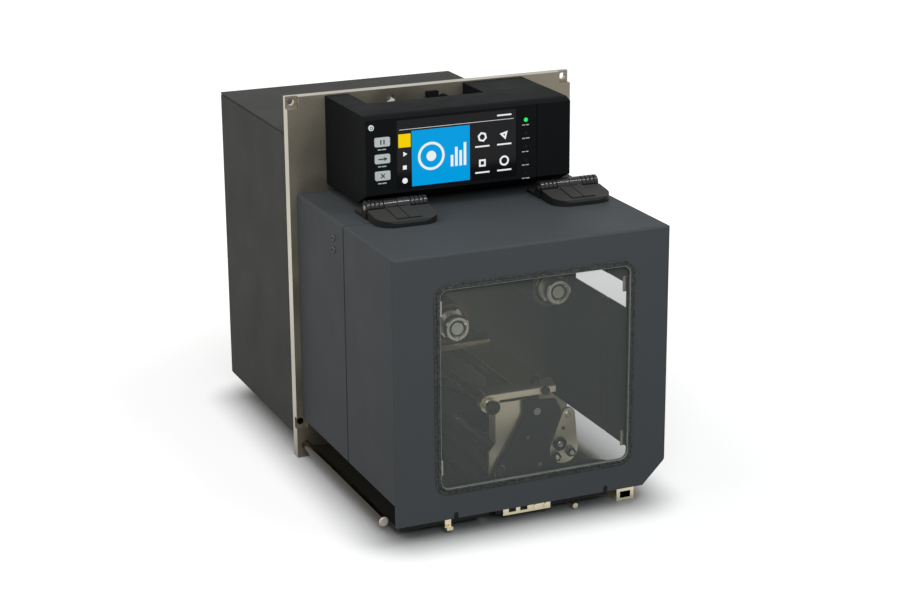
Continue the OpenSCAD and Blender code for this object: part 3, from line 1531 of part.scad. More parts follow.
mount_plate();
rear_chassis();
rear_cover();
cover_screws();
io_ports();
power_inlet();
power_rocker();
fan_frame();
fan_guard();
fan_rotor();
main_board();
power_supply();
drive_motor();
motor_pulley();
drive_belt();
ribbon_motor();
takeup_pinion();
spindle_bearings();
front_cover();
panel_bracket();
panel_housing();
panel_bezel();
display_screen();
status_lights();
panel_board();
panel_cable();
power_button();
pause_button();
feed_button();
cancel_button();
hinge_base_left();
hinge_base_right();
hinge_pins();
hinge_leaf_left();
hinge_leaf_right();
door_panel();
window_trim();
window_pane();
pane_clips();
guide_rod();
mech_cheek();
tie_bars();
pinch_bracket();
front_tray();
front_brackets();
peel_bar();
platen_roller();
feed_roller();
pinch_roller();
peel_roller();
head_bracket();
printhead();
pressure_knobs();
head_latch();
latch_knobs();
supply_spindle();
supply_core();
takeup_spindle();
takeup_core();
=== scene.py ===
"""Looks of a plate-mounted label print engine: finishes, rounded edges and fitted detail."""

import json
import math

import bmesh
import bpy
from mathutils import Matrix, Vector


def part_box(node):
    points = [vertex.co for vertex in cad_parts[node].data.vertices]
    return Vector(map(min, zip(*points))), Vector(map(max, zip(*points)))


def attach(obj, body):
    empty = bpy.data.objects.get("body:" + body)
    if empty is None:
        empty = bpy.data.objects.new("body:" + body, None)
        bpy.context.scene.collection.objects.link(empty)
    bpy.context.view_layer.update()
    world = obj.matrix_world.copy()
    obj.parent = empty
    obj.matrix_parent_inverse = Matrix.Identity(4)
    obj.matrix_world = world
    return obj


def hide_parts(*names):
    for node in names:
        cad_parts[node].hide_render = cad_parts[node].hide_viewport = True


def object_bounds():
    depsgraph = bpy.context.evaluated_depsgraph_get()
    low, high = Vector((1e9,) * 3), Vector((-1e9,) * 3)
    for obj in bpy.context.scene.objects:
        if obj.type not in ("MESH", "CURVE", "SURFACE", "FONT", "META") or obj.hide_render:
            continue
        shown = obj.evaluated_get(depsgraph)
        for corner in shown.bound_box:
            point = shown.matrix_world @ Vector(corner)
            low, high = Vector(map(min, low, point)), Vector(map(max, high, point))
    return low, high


bl_info = {
    "name": "Label Print Engine Looks",
    "version": (1, 0, 0),
    "blender": (4, 5, 0),
    "location": "View3D > Sidebar > Print Engine",
    "description": "Dresses the packed print engine with finishes, rounded edges and fitted detail",
    "category": "Object",
}

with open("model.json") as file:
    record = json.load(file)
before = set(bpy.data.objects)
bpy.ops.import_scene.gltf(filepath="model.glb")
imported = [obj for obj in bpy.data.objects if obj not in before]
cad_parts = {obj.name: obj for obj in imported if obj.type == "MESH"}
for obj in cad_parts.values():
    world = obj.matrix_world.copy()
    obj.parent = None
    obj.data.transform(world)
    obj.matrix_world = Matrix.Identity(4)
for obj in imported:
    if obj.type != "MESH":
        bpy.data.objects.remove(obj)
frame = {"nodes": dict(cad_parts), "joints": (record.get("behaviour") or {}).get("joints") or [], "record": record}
cad_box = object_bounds()

MM = 0.001

# Points nearer than MERGE become one point and faces within FLAT of level become one face. Edges that
# turn by more than SHARP are rounded or stay sharp. FACING is the least share of a normal that counts
# as looking one way.
MERGE = 0.001 * MM
FLAT = math.radians(0.3)
SHARP = math.radians(35)
FACING = 0.9

PHOTO_WIDTH = 900
FOCAL_PIXELS = 2141
SENSOR_WIDTH = 36

SLOT = {part["node"]: part["material_slot"] for part in frame["record"]["subparts"]}
BODY = {node: body for body, nodes in frame["record"]["behaviour"]["bodies"].items() for node in nodes}
SCREEN_LOW, SCREEN_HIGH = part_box("display_screen")
DOOR_LOW, DOOR_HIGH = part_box("door_panel")


def colour_property(name, text, rgb):
    """A colour that a user can change."""
    return bpy.props.FloatVectorProperty(
        name=name, description=text, default=rgb, size=3, min=0, max=1, subtype="COLOR")


def length_property(name, text, value):
    """A length that a user can change, in metres."""
    return bpy.props.FloatProperty(
        name=name, description=text, default=value, unit="LENGTH", precision=5)


def angle_property(name, text, degrees):
    """An angle that a user can change, given in degrees."""
    return bpy.props.FloatProperty(
        name=name, description=text, default=math.radians(degrees), subtype="ANGLE")


def power_property(name, text, watts):
    """The power of a lamp, which a user can change."""
    return bpy.props.FloatProperty(name=name, description=text, default=watts, unit="POWER")


class EngineColours(bpy.types.PropertyGroup):
    """Colours of the finishes."""

    cover: colour_property("Cover paint", "Front cover and door", (0.058, 0.0625, 0.066))
    housing: colour_property("Housing paint", "Electronics housing", (0.05, 0.05, 0.047))
    plate: colour_property("Plate nickel", "Faces of the mounting plate", (0.2, 0.18, 0.14))
    # Paler than the plate's faces partly as a real milled finish and partly as a painted highlight on the plate's
    # top and sides
    milled_and_highlight: colour_property("Milled edge", "Milled edges of the mounting plate", (0.42, 0.39, 0.325))
    bracket: colour_property("Bracket nickel", "Bright brackets of the mechanism", (0.93, 0.84, 0.61))
    steel: colour_property("Turned steel", "Shafts, caps and screws", (0.62, 0.59, 0.5))
    cap: colour_property("Cap centre", "Dull centre of the spindle caps", (0.88, 0.88, 0.68))
    rod: colour_property("Guide rod", "Dark polished guide rod", (0.042, 0.034, 0.025))
    rod_end: colour_property("Rod end", "Turned end of the guide rod", (0.56, 0.48, 0.41))
    panel: colour_property("Panel moulding", "Control panel", (0.007, 0.0076, 0.008))
    hinge: colour_property("Hinge moulding", "Door hinges", (0.008, 0.008, 0.0085))
    # Paler tops of the hinge leaves: a painted sheen, lighter only to stand for the light they catch
    hinge_top: colour_property("Hinge top", "Paler top of the hinge leaves", (0.04, 0.0395, 0.037))
    trim: colour_property("Window trim", "Bead round the window", (0.04, 0.043, 0.04))
    # Paler inner lip of the bead: a painted highlight along the lip
    trim_lip: colour_property("Trim lip", "Inner lip of the bead", (0.12, 0.125, 0.112))
    pane: colour_property("Window pane", "Smoked pane", (0.122, 0.13, 0.122))
    key: colour_property("Keys", "Key caps", (0.48, 0.5, 0.5))
    power: colour_property("Power key", "Pale power key", (0.75, 0.76, 0.76))
    tile: colour_property("Screen tile", "Large tile of the display", (0.0, 0.33, 0.74))
    tab: colour_property("Screen tab", "Picked tab of the display", (0.9, 0.62, 0.0))
    lamp: colour_property("Status light", "Lit status light", (0.01, 0.75, 0.12))


class EngineSizes(bpy.types.PropertyGroup):
    """Small sizes of the dressed pieces."""

    sheet_edge: length_property("Sheet edge", "Rounding of sheet metal edges", 0.3 * MM)
    moulded_edge: length_property("Moulded edge", "Rounding of moulded edges", 0.5 * MM)
    machined_edge: length_property("Machined edge", "Rounding of machined edges", 0.2 * MM)
    hinge_edge: length_property("Hinge edge", "Rounding of the hinges' edges", 0.25 * MM)
    mark: length_property("Mark thickness", "Thickness of printed marks and screen tiles", 0.08 * MM)


class StageSettings(bpy.types.PropertyGroup):
    """Camera and light."""

    camera_at: bpy.props.FloatVectorProperty(
        name="Camera", description="Place of the camera", default=(-0.6479, -1.5349, 0.6525),
        subtype="TRANSLATION")
    azimuth: angle_property("Azimuth", "Turn of the view to the right", 23.13)
    pitch: angle_property("Pitch", "Tilt of the view below the horizon", 17.62)
    roll: angle_property("Roll", "Roll of the view", 0.45)
    focal: bpy.props.FloatProperty(
        name="Focal length", description="Focal length in picture widths",
        default=FOCAL_PIXELS / PHOTO_WIDTH)
    key_light: power_property("Key light", "Power of the key light", 19)
    side_light: power_property("Side light", "Power of the light at the left", 6)
    strip_light: power_property("Strip light", "Power of the strip in front", 4)
    sky: bpy.props.FloatProperty(
        name="Sky", description="Strength of the light all round", default=0.3)


def colours():
    """The chosen colours."""
    return bpy.context.scene.engine_colours


def sizes():
    """The chosen small sizes."""
    return bpy.context.scene.engine_sizes


# Modelling helpers


def select_only(piece):
    """Makes one piece the selected and active object."""
    bpy.ops.object.select_all(action="DESELECT")
    piece.select_set(True)
    bpy.context.view_layer.objects.active = piece


def edit(piece, kind="FACE"):
    """Opens a piece in edit mode with nothing selected."""
    select_only(piece)
    bpy.ops.object.mode_set(mode="EDIT")
    bpy.ops.mesh.select_mode(type=kind)
    bpy.ops.mesh.select_all(action="DESELECT")


def leave_edit():
    """Goes back to object mode."""
    bpy.ops.object.mode_set(mode="OBJECT")


def pick(piece, kind, test):
    """Selects the faces, edges or vertices of the open mesh that pass a test."""
    mesh = bmesh.from_edit_mesh(piece.data)
    for part in getattr(mesh, kind):
        part.select_set(bool(test(part)))
    mesh.select_flush_mode()
    bmesh.update_edit_mesh(piece.data)


def middle(edge):
    """Middle point of an edge."""
    return (edge.verts[0].co + edge.verts[1].co) / 2


def facing_front(least=FACING):
    """A test for faces that look to the front by at least a share."""
    return lambda face: face.normal.y < -least


def extrude(*offset):
    """Extrudes what is selected by an offset."""
    bpy.ops.mesh.extrude_region_move(TRANSFORM_OT_translate={"value": offset})


def step_face(width, *offset):
    """Insets the selected face and moves it by an offset."""
    bpy.ops.mesh.inset(thickness=width)
    bpy.ops.transform.translate(value=offset)


def leave_outward():
    """Turns all faces outwards and goes back to object mode."""
    bpy.ops.mesh.select_all(action="SELECT")
    bpy.ops.mesh.normals_make_consistent(inside=False)
    leave_edit()


def named(name):
    """Names the object that an operator has just made, and puts its place in its mesh."""
    piece = bpy.context.active_object
    piece.name = name
    piece.data.name = name
    select_only(piece)
    bpy.ops.object.transform_apply(location=True, rotation=True, scale=True)
    return piece


def box(name, low, high):
    """A block between two corners, as a start."""
    bpy.ops.object.select_all(action="DESELECT")
    low = Vector(low)
    high = Vector(high)
    bpy.ops.mesh.primitive_cube_add(size=1, location=(low + high) / 2, scale=high - low)
    return named(name)


def join(name, pieces):
    """Joins several pieces into one."""
    bpy.ops.object.select_all(action="DESELECT")
    for piece in pieces:
        piece.select_set(True)
    bpy.context.view_layer.objects.active = pieces[0]
    if len(pieces) > 1:
        bpy.ops.object.join()
    return named(name)


def round_off(piece, radius, segments=2):
    """Rounds the sharp edges of a piece."""
    select_only(piece)
    bevel = piece.modifiers.new("rounding", "BEVEL")
    bevel.width = radius
    bevel.segments = segments
    bevel.limit_method = "ANGLE"
    bevel.angle_limit = SHARP
    bevel.miter_outer = "MITER_ARC"
    bpy.ops.object.modifier_apply(modifier=bevel.name)
    return piece


def finish_of(slot):
    """The finish mixed for a material slot."""
    return bpy.data.materials[f"{slot}_finish"]


def settle(piece, body, slot, *nodes):
    """Shades a piece with its flat faces kept flat, gives it its finish and seats it on its body."""
    select_only(piece)
    bpy.ops.object.shade_smooth_by_angle(angle=SHARP)
    normals = piece.modifiers.new("flat_faces", "WEIGHTED_NORMAL")
    normals.keep_sharp = True
    bpy.ops.object.modifier_apply(modifier=normals.name)
    piece.data.materials.clear()
    piece.data.materials.append(finish_of(slot))
    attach(piece, body)
    if nodes:
        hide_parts(*nodes)
    return piece


def fit(name, pieces, body, slot, *nodes):
    """Joins pieces into one, finishes it and seats it on its body."""
    settle(join(name, pieces), body, slot, *nodes)


def front_centre(node):
    """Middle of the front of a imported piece."""
    low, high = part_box(node)
    return (low.x + high.x) / 2, low.y, (low.z + high.z) / 2


def joint_place(name):
    """Point that a joint's axis passes through."""
    return next(joint["pos_m"] for joint in frame["joints"] if joint["name"] == name)


# Shader helpers


def add(tree, kind, **settings):
    """Adds a node with its settings."""
    node = tree.nodes.new(kind)
    for key, value in settings.items():
        setattr(node, key, value)
    return node


def feed(tree, source, target):
    """Links an output to an input."""
    tree.links.new(source, target)


def new_group(name, inputs, outputs):
    """A shader group with named sockets; inputs are (name, type, default)."""
    tree = bpy.data.node_groups.new(name, "ShaderNodeTree")
    for label, kind, default in inputs:
        socket = tree.interface.new_socket(label, in_out="INPUT", socket_type=kind)
        if default is not None:
            socket.default_value = default
    for label, kind in outputs:
        tree.interface.new_socket(label, in_out="OUTPUT", socket_type=kind)
    return tree, add(tree, "NodeGroupInput").outputs, add(tree, "NodeGroupOutput").inputs


VECTOR = ("Vector", "NodeSocketVector", None)


def noise_of(tree, vector, scale, detail):
    """A noise texture read at a place and scale."""
    noise = add(tree, "ShaderNodeTexNoise")
    noise.inputs["Detail"].default_value = detail
    feed(tree, vector, noise.inputs["Vector"])
    feed(tree, scale, noise.inputs["Scale"])
    return noise.outputs[0]


def fine_grain_group():
    """Height of a fine grain: soft cells laid over a noise."""
    tree, into, out = new_group(
        "Fine Grain", [VECTOR, ("Scale", "NodeSocketFloat", 1500.0)], [("Height", "NodeSocketFloat")])
    cell_share = 0.6
    cells = add(tree, "ShaderNodeTexVoronoi", feature="SMOOTH_F1")
    feed(tree, into["Vector"], cells.inputs["Vector"])
    feed(tree, into["Scale"], cells.inputs["Scale"])
    mix = add(tree, "ShaderNodeMath", operation="MULTIPLY_ADD")
    mix.inputs[1].default_value = cell_share
    feed(tree, cells.outputs["Distance"], mix.inputs[0])
    feed(tree, noise_of(tree, into["Vector"], into["Scale"], 2.5), mix.inputs[2])
    feed(tree, mix.outputs[0], out["Height"])


def tone_drift_group():
    """A colour that grows lighter and darker over the surface by an amount."""
    tree, into, out = new_group(
        "Tone Drift", [VECTOR, ("Colour", "NodeSocketColor", (0.5, 0.5, 0.5, 1)),
                       ("Amount", "NodeSocketFloat", 0.1), ("Scale", "NodeSocketFloat", 20.0)],
        [("Colour", "NodeSocketColor")])
    noise_mean = 0.5
    shift = add(tree, "ShaderNodeMath", operation="SUBTRACT")
    shift.inputs[1].default_value = noise_mean
    grow = add(tree, "ShaderNodeMath", operation="MULTIPLY_ADD")
    grow.inputs[2].default_value = 1
    tint = add(tree, "ShaderNodeVectorMath", operation="SCALE")
    feed(tree, noise_of(tree, into["Vector"], into["Scale"], 4), shift.inputs[0])
    feed(tree, shift.outputs[0], grow.inputs[0])
    feed(tree, into["Amount"], grow.inputs[1])
    feed(tree, into["Colour"], tint.inputs[0])
    feed(tree, grow.outputs[0], tint.inputs["Scale"])
    feed(tree, tint.outputs[0], out["Colour"])


def brushed_lines_group():
    """Height of fine lines drawn out along one direction."""
    tree, into, out = new_group(
        "Brushed Lines", [VECTOR, ("Stretch", "NodeSocketVector", (1, 1, 60)),
                          ("Scale", "NodeSocketFloat", 60.0)], [("Height", "NodeSocketFloat")])
    drawn = add(tree, "ShaderNodeVectorMath", operation="MULTIPLY")
    feed(tree, into["Vector"], drawn.inputs[0])
    feed(tree, into["Stretch"], drawn.inputs[1])
    feed(tree, noise_of(tree, drawn.outputs[0], into["Scale"], 5), out["Height"])


def smudges_group():
    """Roughness that wanders between two values."""
    tree, into, out = new_group(
        "Smudges", [VECTOR, ("Scale", "NodeSocketFloat", 30.0), ("Low", "NodeSocketFloat", 0.3),
                    ("High", "NodeSocketFloat", 0.5)], [("Roughness", "NodeSocketFloat")])
    spread = add(tree, "ShaderNodeMapRange")
    spread.inputs["From Min"].default_value = 0.3
    spread.inputs["From Max"].default_value = 0.7
    feed(tree, noise_of(tree, into["Vector"], into["Scale"], 6), spread.inputs["Value"])
    feed(tree, into["Low"], spread.inputs["To Min"])
    feed(tree, into["High"], spread.inputs["To Max"])
    feed(tree, spread.outputs[0], out["Roughness"])


def use(tree, name, place, **values):
    """Places a shared effect in a material, fed with the piece's own coordinates."""
    node = add(tree, "ShaderNodeGroup", node_tree=bpy.data.node_groups[name])
    for key, value in values.items():
        node.inputs[key].default_value = value
    feed(tree, place, node.inputs["Vector"])
    return node


def finish(name, rgb, metallic, rough, drift=0.12, drift_scale=25.0, grain=None, brush=None,
           specular=0.5, alpha=1.0):
    """A material: colour that drifts, roughness between two values, and grain or brushed lines."""
    material = bpy.data.materials.new(f"{name}_finish")
    material.use_nodes = True
    tree = material.node_tree
    shader = tree.nodes["Principled BSDF"]
    place = add(tree, "ShaderNodeTexCoord").outputs["Object"]
    shader.inputs["Metallic"].default_value = metallic
    shader.inputs["Specular IOR Level"].default_value = specular
    shader.inputs["Alpha"].default_value = alpha
    tone = use(tree, "Tone Drift", place, Colour=(*rgb, 1), Amount=drift, Scale=drift_scale)
    feed(tree, tone.outputs["Colour"], shader.inputs["Base Color"])
    smudge = use(tree, "Smudges", place, Low=rough[0], High=rough[1])
    feed(tree, smudge.outputs["Roughness"], shader.inputs["Roughness"])
    if grain:
        press(tree, use(tree, "Fine Grain", place, Scale=grain[0]), grain[1])
    if brush:
        press(tree, use(tree, "Brushed Lines", place, Stretch=brush[0]), brush[1])
    return material


def press(tree, effect, strength):
    """Presses the height of an effect into the surface."""
    bump = add(tree, "ShaderNodeBump")
    bump.inputs["Strength"].default_value = strength
    bump.inputs["Distance"].default_value = 0.2 * MM
    feed(tree, effect.outputs["Height"], bump.inputs["Height"])
    feed(tree, bump.outputs["Normal"], tree.nodes["Principled BSDF"].inputs["Normal"])


def lit_lens(name, rgb, above):
    """Finish of the status lights, which glows only above a height, where the lit light is."""
    tree = finish(name, colours().panel, 0, (0.35, 0.45), specular=0.1).node_tree
    shader = tree.nodes["Principled BSDF"]
    place = add(tree, "ShaderNodeTexCoord")
    split = add(tree, "ShaderNodeSeparateXYZ")
    lit = add(tree, "ShaderNodeMath", operation="GREATER_THAN")
    lit.inputs[1].default_value = above
    glow = add(tree, "ShaderNodeVectorMath", operation="SCALE")
    glow.inputs[0].default_value = rgb
    feed(tree, place.outputs["Object"], split.inputs[0])
    feed(tree, split.outputs["Z"], lit.inputs[0])
    feed(tree, lit.outputs[0], glow.inputs["Scale"])
    feed(tree, glow.outputs[0], shader.inputs["Emission Color"])
    shader.inputs["Emission Strength"].default_value = 1.2


def lit_field(name, rgb):
    """Finish of a lit field of the display, which shows a tenth of its colour when it is dark."""
    dark = [0.1 * value for value in rgb]
    tree = finish(name, dark, 0, (0.2, 0.3), drift=0.06, specular=0.05).node_tree
    shader = tree.nodes["Principled BSDF"]
    shader.inputs["Emission Color"].default_value = (*rgb, 1)
    shader.inputs["Emission Strength"].default_value = 0.9


# Stretch of brushed lines that run upright, from front to back, and from side to side
UPRIGHT = (60, 60, 1)
ALONG = (60, 1, 60)
LEVEL = (1, 60, 60)


def mix_metals(c):
    """Finishes of the plate, the brackets, the turned pieces and the sockets."""
    finish("plate_nickel", c.plate, 1, (0.42, 0.55), drift=0.5, drift_scale=900, grain=(900, 0.06))
    # Milled edge finish of the plate, partly a painted highlight
    finish("plate_edge", c.milled_and_highlight, 1, (0.25, 0.38), drift=0.15, brush=(ALONG, 0.06))
    finish("bright_bracket", c.bracket, 1, (0.32, 0.42), drift=0.12, brush=(LEVEL, 0.04))
    finish("machined_steel", c.steel, 1, (0.25, 0.38), drift=0.15, brush=(ALONG, 0.05))
    finish("cap_centre", c.cap, 0.3, (0.4, 0.5), drift=0.3, drift_scale=300)
    finish("rod_chrome", c.rod, 1, (0.1, 0.18), drift=0.1, brush=(ALONG, 0.02))
    finish("rod_end", c.rod_end, 0.3, (0.3, 0.42), drift=0.15, drift_scale=300)
    finish("head_aluminium", (0.5, 0.5, 0.5), 1, (0.3, 0.42), brush=(ALONG, 0.08))
    finish("port_metal", (0.55, 0.55, 0.54), 1, (0.25, 0.4), grain=(1500, 0.08))
    finish("contact_gold", (0.75, 0.5, 0.16), 1, (0.25, 0.35), brush=(ALONG, 0.05))


def mix_paints(c):
    """Finishes of the painted sheets, the hinges and the window."""
    finish("cover_paint", c.cover, 0, (0.42, 0.52), drift=0.06, grain=(1700, 0.02), specular=0.015)
    finish("housing_paint", c.housing, 0, (0.45, 0.55), drift=0.06, grain=(1700, 0.02), specular=0.015)
    finish("hinge_black", c.hinge, 0, (0.48, 0.58), grain=(900, 0.03), specular=0.14)
    finish("hinge_gloss", c.hinge, 0, (0.14, 0.2), specular=0.4)
    # Painted sheen on the tops of the hinge leaves
    finish("hinge_top", c.hinge_top, 0, (0.5, 0.6), grain=(900, 0.06), specular=0.05)
    finish("trim_black", c.trim, 0, (0.45, 0.6), drift=4, drift_scale=900, grain=(420, 0.5), specular=0.1)
    # Painted highlight on the bead's inner lip
    finish("trim_lip", c.trim_lip, 0, (0.3, 0.4), drift=1.5, drift_scale=900)
    finish("pane_smoke", c.pane, 0, (0.02, 0.06), drift=0.1, drift_scale=12, specular=0.06, alpha=0.3)


def mix_panel(c):
    """Finishes of the control panel, its keys, its marks, its lights and its display."""
    lens_height = 5 * MM
    finish("panel_black", c.panel, 0, (0.42, 0.52), drift=0.06, grain=(2200, 0.04), specular=0.01)
    finish("key_grey", c.key, 0, (0.35, 0.45), drift=0.06, grain=(1800, 0.05), specular=0.2)
    finish("power_pale", c.power, 0, (0.35, 0.45), drift=0.05, specular=0.1)
    finish("screen_glass", (0.004, 0.004, 0.005), 0, (0.08, 0.14), specular=0.15)
    finish("mark_dark", (0.008, 0.008, 0.008), 0, (0.5, 0.6))
    finish("mark_pale", (0.45, 0.46, 0.46), 0, (0.5, 0.6))
    lit_lens("light_lens", c.lamp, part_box("status_lights")[1].z - lens_height)
    lit_field("glow_tile", c.tile)
    lit_field("glow_tab", c.tab)
    lit_field("glow_white", (0.85, 0.87, 0.88))


def mix_inside():
    """Finishes of the mechanism, the drive, the cores and the electronics."""
    finish("mech_black", (0.014, 0.014, 0.014), 0, (0.35, 0.5), grain=(1300, 0.05), specular=0.2)
    finish("knob_black", (0.012, 0.012, 0.013), 0, (0.3, 0.45), grain=(1500, 0.06))
    finish("roller_rubber", (0.018, 0.018, 0.018), 0, (0.6, 0.75), brush=(ALONG, 0.1))
    finish("belt_rubber", (0.012, 0.012, 0.012), 0, (0.65, 0.8), grain=(1200, 0.2))
    finish("motor_body", (0.02, 0.02, 0.021), 0.3, (0.35, 0.5), brush=(ALONG, 0.15))
    finish("board_green", (0.012, 0.09, 0.035), 0, (0.3, 0.5), drift=0.6, drift_scale=160, grain=(600, 0.3))
    finish("core_card", (0.3, 0.17, 0.085), 0, (0.7, 0.85), drift=0.5, drift_scale=120,
           brush=(UPRIGHT, 0.3))
    finish("core_grey", (0.2, 0.2, 0.14), 0, (0.65, 0.8), drift=0.4, drift_scale=120, brush=(UPRIGHT, 0.3))
    finish("port_insert", (0.01, 0.01, 0.01), 0, (0.4, 0.55), grain=(1500, 0.08))


class ENGINE_OT_finishes(bpy.types.Operator):
    """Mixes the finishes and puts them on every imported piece."""

    bl_idname = "engine.finishes"
    bl_label = "Finishes"

    def execute(self, context):
        fine_grain_group()
        tone_drift_group()
        brushed_lines_group()
        smudges_group()
        mix_metals(colours())
        mix_paints(colours())
        mix_panel(colours())
        mix_inside()
        for node, piece in frame["nodes"].items():
            for holder in piece.material_slots:
                holder.material = finish_of(SLOT[node])
        return {"FINISHED"}


SHEETS = ["rear_chassis", "rear_cover", "front_cover", "door_panel", "front_tray"]
MOULDINGS = ["panel_bracket", "panel_housing", "panel_bezel", "pause_button", "feed_button",
             "cancel_button", "power_inlet", "power_rocker", "fan_frame", "fan_rotor", "latch_knobs",
             "pressure_knobs", "panel_cable"]
MACHINED = ["mech_cheek", "pinch_bracket", "front_brackets", "peel_bar", "head_bracket", "printhead",
            "head_latch", "supply_spindle", "supply_core", "takeup_spindle", "takeup_core", "fan_guard",
            "hinge_pins", "platen_roller", "feed_roller", "pinch_roller", "peel_roller", "io_ports",
            "pane_clips", "status_lights"]
HINGES = ["hinge_base_left", "hinge_base_right", "hinge_leaf_left", "hinge_leaf_right"]


def open_copy(node, name):
    """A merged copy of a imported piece, open in edit mode with everything selected."""
    piece = bpy.data.objects.new(name, frame["nodes"][node].data.copy())
    bpy.context.scene.collection.objects.link(piece)
    edit(piece)
    bpy.ops.mesh.select_all(action="SELECT")
    bpy.ops.mesh.remove_doubles(threshold=MERGE)
    return piece


def softened(node, radius):
    """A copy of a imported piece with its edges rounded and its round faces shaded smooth."""
    piece = open_copy(node, f"{node}_finished")
    bpy.ops.mesh.dissolve_limited(angle_limit=FLAT)
    leave_edit()
    bpy.ops.mesh.customdata_custom_splitnormals_clear()
    round_off(piece, radius)
    return settle(piece, BODY[node], SLOT[node], node)


def second_finish(piece, name, test):
    """Gives the faces that pass a test another finish."""
    piece.data.materials.append(finish_of(name))
    added = len(piece.data.materials) - 1
    for face in piece.data.polygons:
        if test(face):
            face.material_index = added


class ENGINE_OT_edges(bpy.types.Operator):
    """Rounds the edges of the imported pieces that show, and sets off some ends and edges."""

    bl_idname = "engine.edges"
    bl_label = "Rounded edges"

    def execute(self, context):
        s = sizes()
        for node in SHEETS:
            softened(node, s.sheet_edge)
        for node in MOULDINGS:
            softened(node, s.moulded_edge)
        for node in MACHINED:
            softened(node, s.machined_edge)
        bars = softened("tie_bars", s.machined_edge)
        second_finish(bars, "rod_chrome", facing_front(0.3))
        plate = softened("mount_plate", s.sheet_edge)
        # The plate's top and sides get the paler edge finish: partly milled metal, partly painted highlight
        second_finish(plate, "plate_edge", lambda face: abs(face.normal.y) < FACING)
        rod = softened("guide_rod", s.machined_edge)
        second_finish(rod, "rod_end", facing_front(0.6))
        power = softened("power_button", s.moulded_edge)
        power.data.materials[0] = finish_of("power_pale")
        return {"FINISHED"}


class ENGINE_OT_hinges(bpy.types.Operator):
    """Softens the ribbed friction hinges, with glossy barrels and a painted sheen on the leaves' tops."""

    bl_idname = "engine.hinges"
    bl_label = "Hinges"

    def execute(self, context):
        barrel = joint_place("door_hinge")[1:]
        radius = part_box("hinge_leaf_left")[1].z - barrel[1]
        groove = 0.25 * MM

        def past_barrel(face):
            return math.dist(face.center.yz, barrel) - radius

        def on_barrel(face):
            return abs(past_barrel(face)) < groove

        # Faces on the leaves' tops, which get the painted sheen
        def painted_sheen_face(face):
            return face.normal.z > FACING and past_barrel(face) > groove

        for node in HINGES:
            piece = softened(node, sizes().hinge_edge)
            second_finish(piece, "hinge_gloss", on_barrel)
            second_finish(piece, "hinge_top", painted_sheen_face)
        return {"FINISHED"}


# Width and rise of each step across the window's bead, from the outside in, in millimetres
BEAD_STEPS = ((0.3, 0.15), (1.3, 0.0), (0.35, -0.4), (0.35, 0.55), (0.5, 0.2), (1.5, 0.0), (0.6, -0.3))


class ENGINE_OT_window(bpy.types.Operator):
    """Models the bead round the window, with a painted highlight on its inner lip."""

    bl_idname = "engine.window"
    bl_label = "Window trim"

    def execute(self, context):
        low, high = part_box("window_trim")
        centre = (low + high) / 2
        rim = 0.5 * MM
        corner = 11 * MM
        lip_depth = 4.2 * MM
        bpy.ops.object.select_all(action="DESELECT")
        bpy.ops.mesh.primitive_plane_add(
            size=1, location=(centre.x, DOOR_LOW.y - rim, centre.z), rotation=(math.radians(90), 0, 0))
        bpy.context.active_object.scale = (high.x - low.x, high.z - low.z, 1)
        trim = named("window_bead")
        edit(trim, "VERT")
        bpy.ops.mesh.select_all(action="SELECT")
        bpy.ops.mesh.bevel(offset=corner, segments=10, affect="VERTICES")
        bpy.ops.mesh.select_mode(type="FACE")
        bpy.ops.mesh.select_all(action="SELECT")
        for width, rise in BEAD_STEPS:
            bpy.ops.mesh.inset(thickness=width * MM, depth=rise * MM)
        extrude(0, high.y - selected_depth(trim), 0)
        bpy.ops.mesh.delete(type="FACE")
        bpy.ops.mesh.select_mode(type="EDGE")
        pick(trim, "edges", lambda edge: edge.is_boundary and middle(edge).y < DOOR_LOW.y)
        bpy.ops.mesh.extrude_edges_move(TRANSFORM_OT_translate={"value": (0, rim, 0)})
        pick(trim, "edges", lambda edge: edge.is_boundary)
        bpy.ops.mesh.bridge_edge_loops()
        leave_outward()
        settle(trim, "door", "trim_black", "window_trim")
        # The inner lip gets a paler finish, a painted highlight
        second_finish(trim, "trim_lip", lambda face: rim_depth(face.center, low, high, corner) > lip_depth)
        return {"FINISHED"}


def rim_depth(point, low, high, radius):
    """How far a point lies inside the outline of a plate with round corners."""
    over_x = abs(point.x - (low.x + high.x) / 2) - (high.x - low.x) / 2 + radius
    over_z = abs(point.z - (low.z + high.z) / 2) - (high.z - low.z) / 2 + radius
    if over_x > 0 and over_z > 0:
        return radius - math.hypot(over_x, over_z)
    return radius - max(over_x, over_z)


def selected_depth(piece):
    """Depth of the selected face of an open mesh."""
    mesh = bmesh.from_edit_mesh(piece.data)
    return next(face.calc_center_median().y for face in mesh.faces if face.select)


class ENGINE_OT_seal(bpy.types.Operator):
    """Lines the seam between cover and door with dark strips that sit inside the cover's walls."""

    bl_idname = "engine.seal"
    bl_label = "Seam seal"

    def execute(self, context):
        low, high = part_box("front_cover")
        openings = {gap["name"]: gap["box_m"] for gap in frame["record"]["physics"]["openings"]}
        slot_low, slot_high = (point[2] for point in openings["side_slot"])
        web_top = openings["web_entry"][1][2]
        sheet = 1.5 * MM
        clear = 0.3 * MM
        thick = 1 * MM
        corner = 6 * MM
        margin = 1.5 * MM
        near = sheet + clear
        far = sheet + clear + thick
        spans = [(low.x + near, low.x + far, web_top + margin, high.z - corner, (-clear, 0, 0)),
                 (high.x - far, high.x - near, low.z + margin, slot_low - margin, (clear, 0, 0)),
                 (high.x - far, high.x - near, slot_high + margin, high.z - corner, (clear, 0, 0)),
                 (low.x + corner, high.x - corner, high.z - far, high.z - near, (0, 0, clear))]
        strips = [seal_strip(*span, seam=low.y) for span in spans]
        fit("seam_seal", strips, "engine", "belt_rubber")
        return {"FINISHED"}


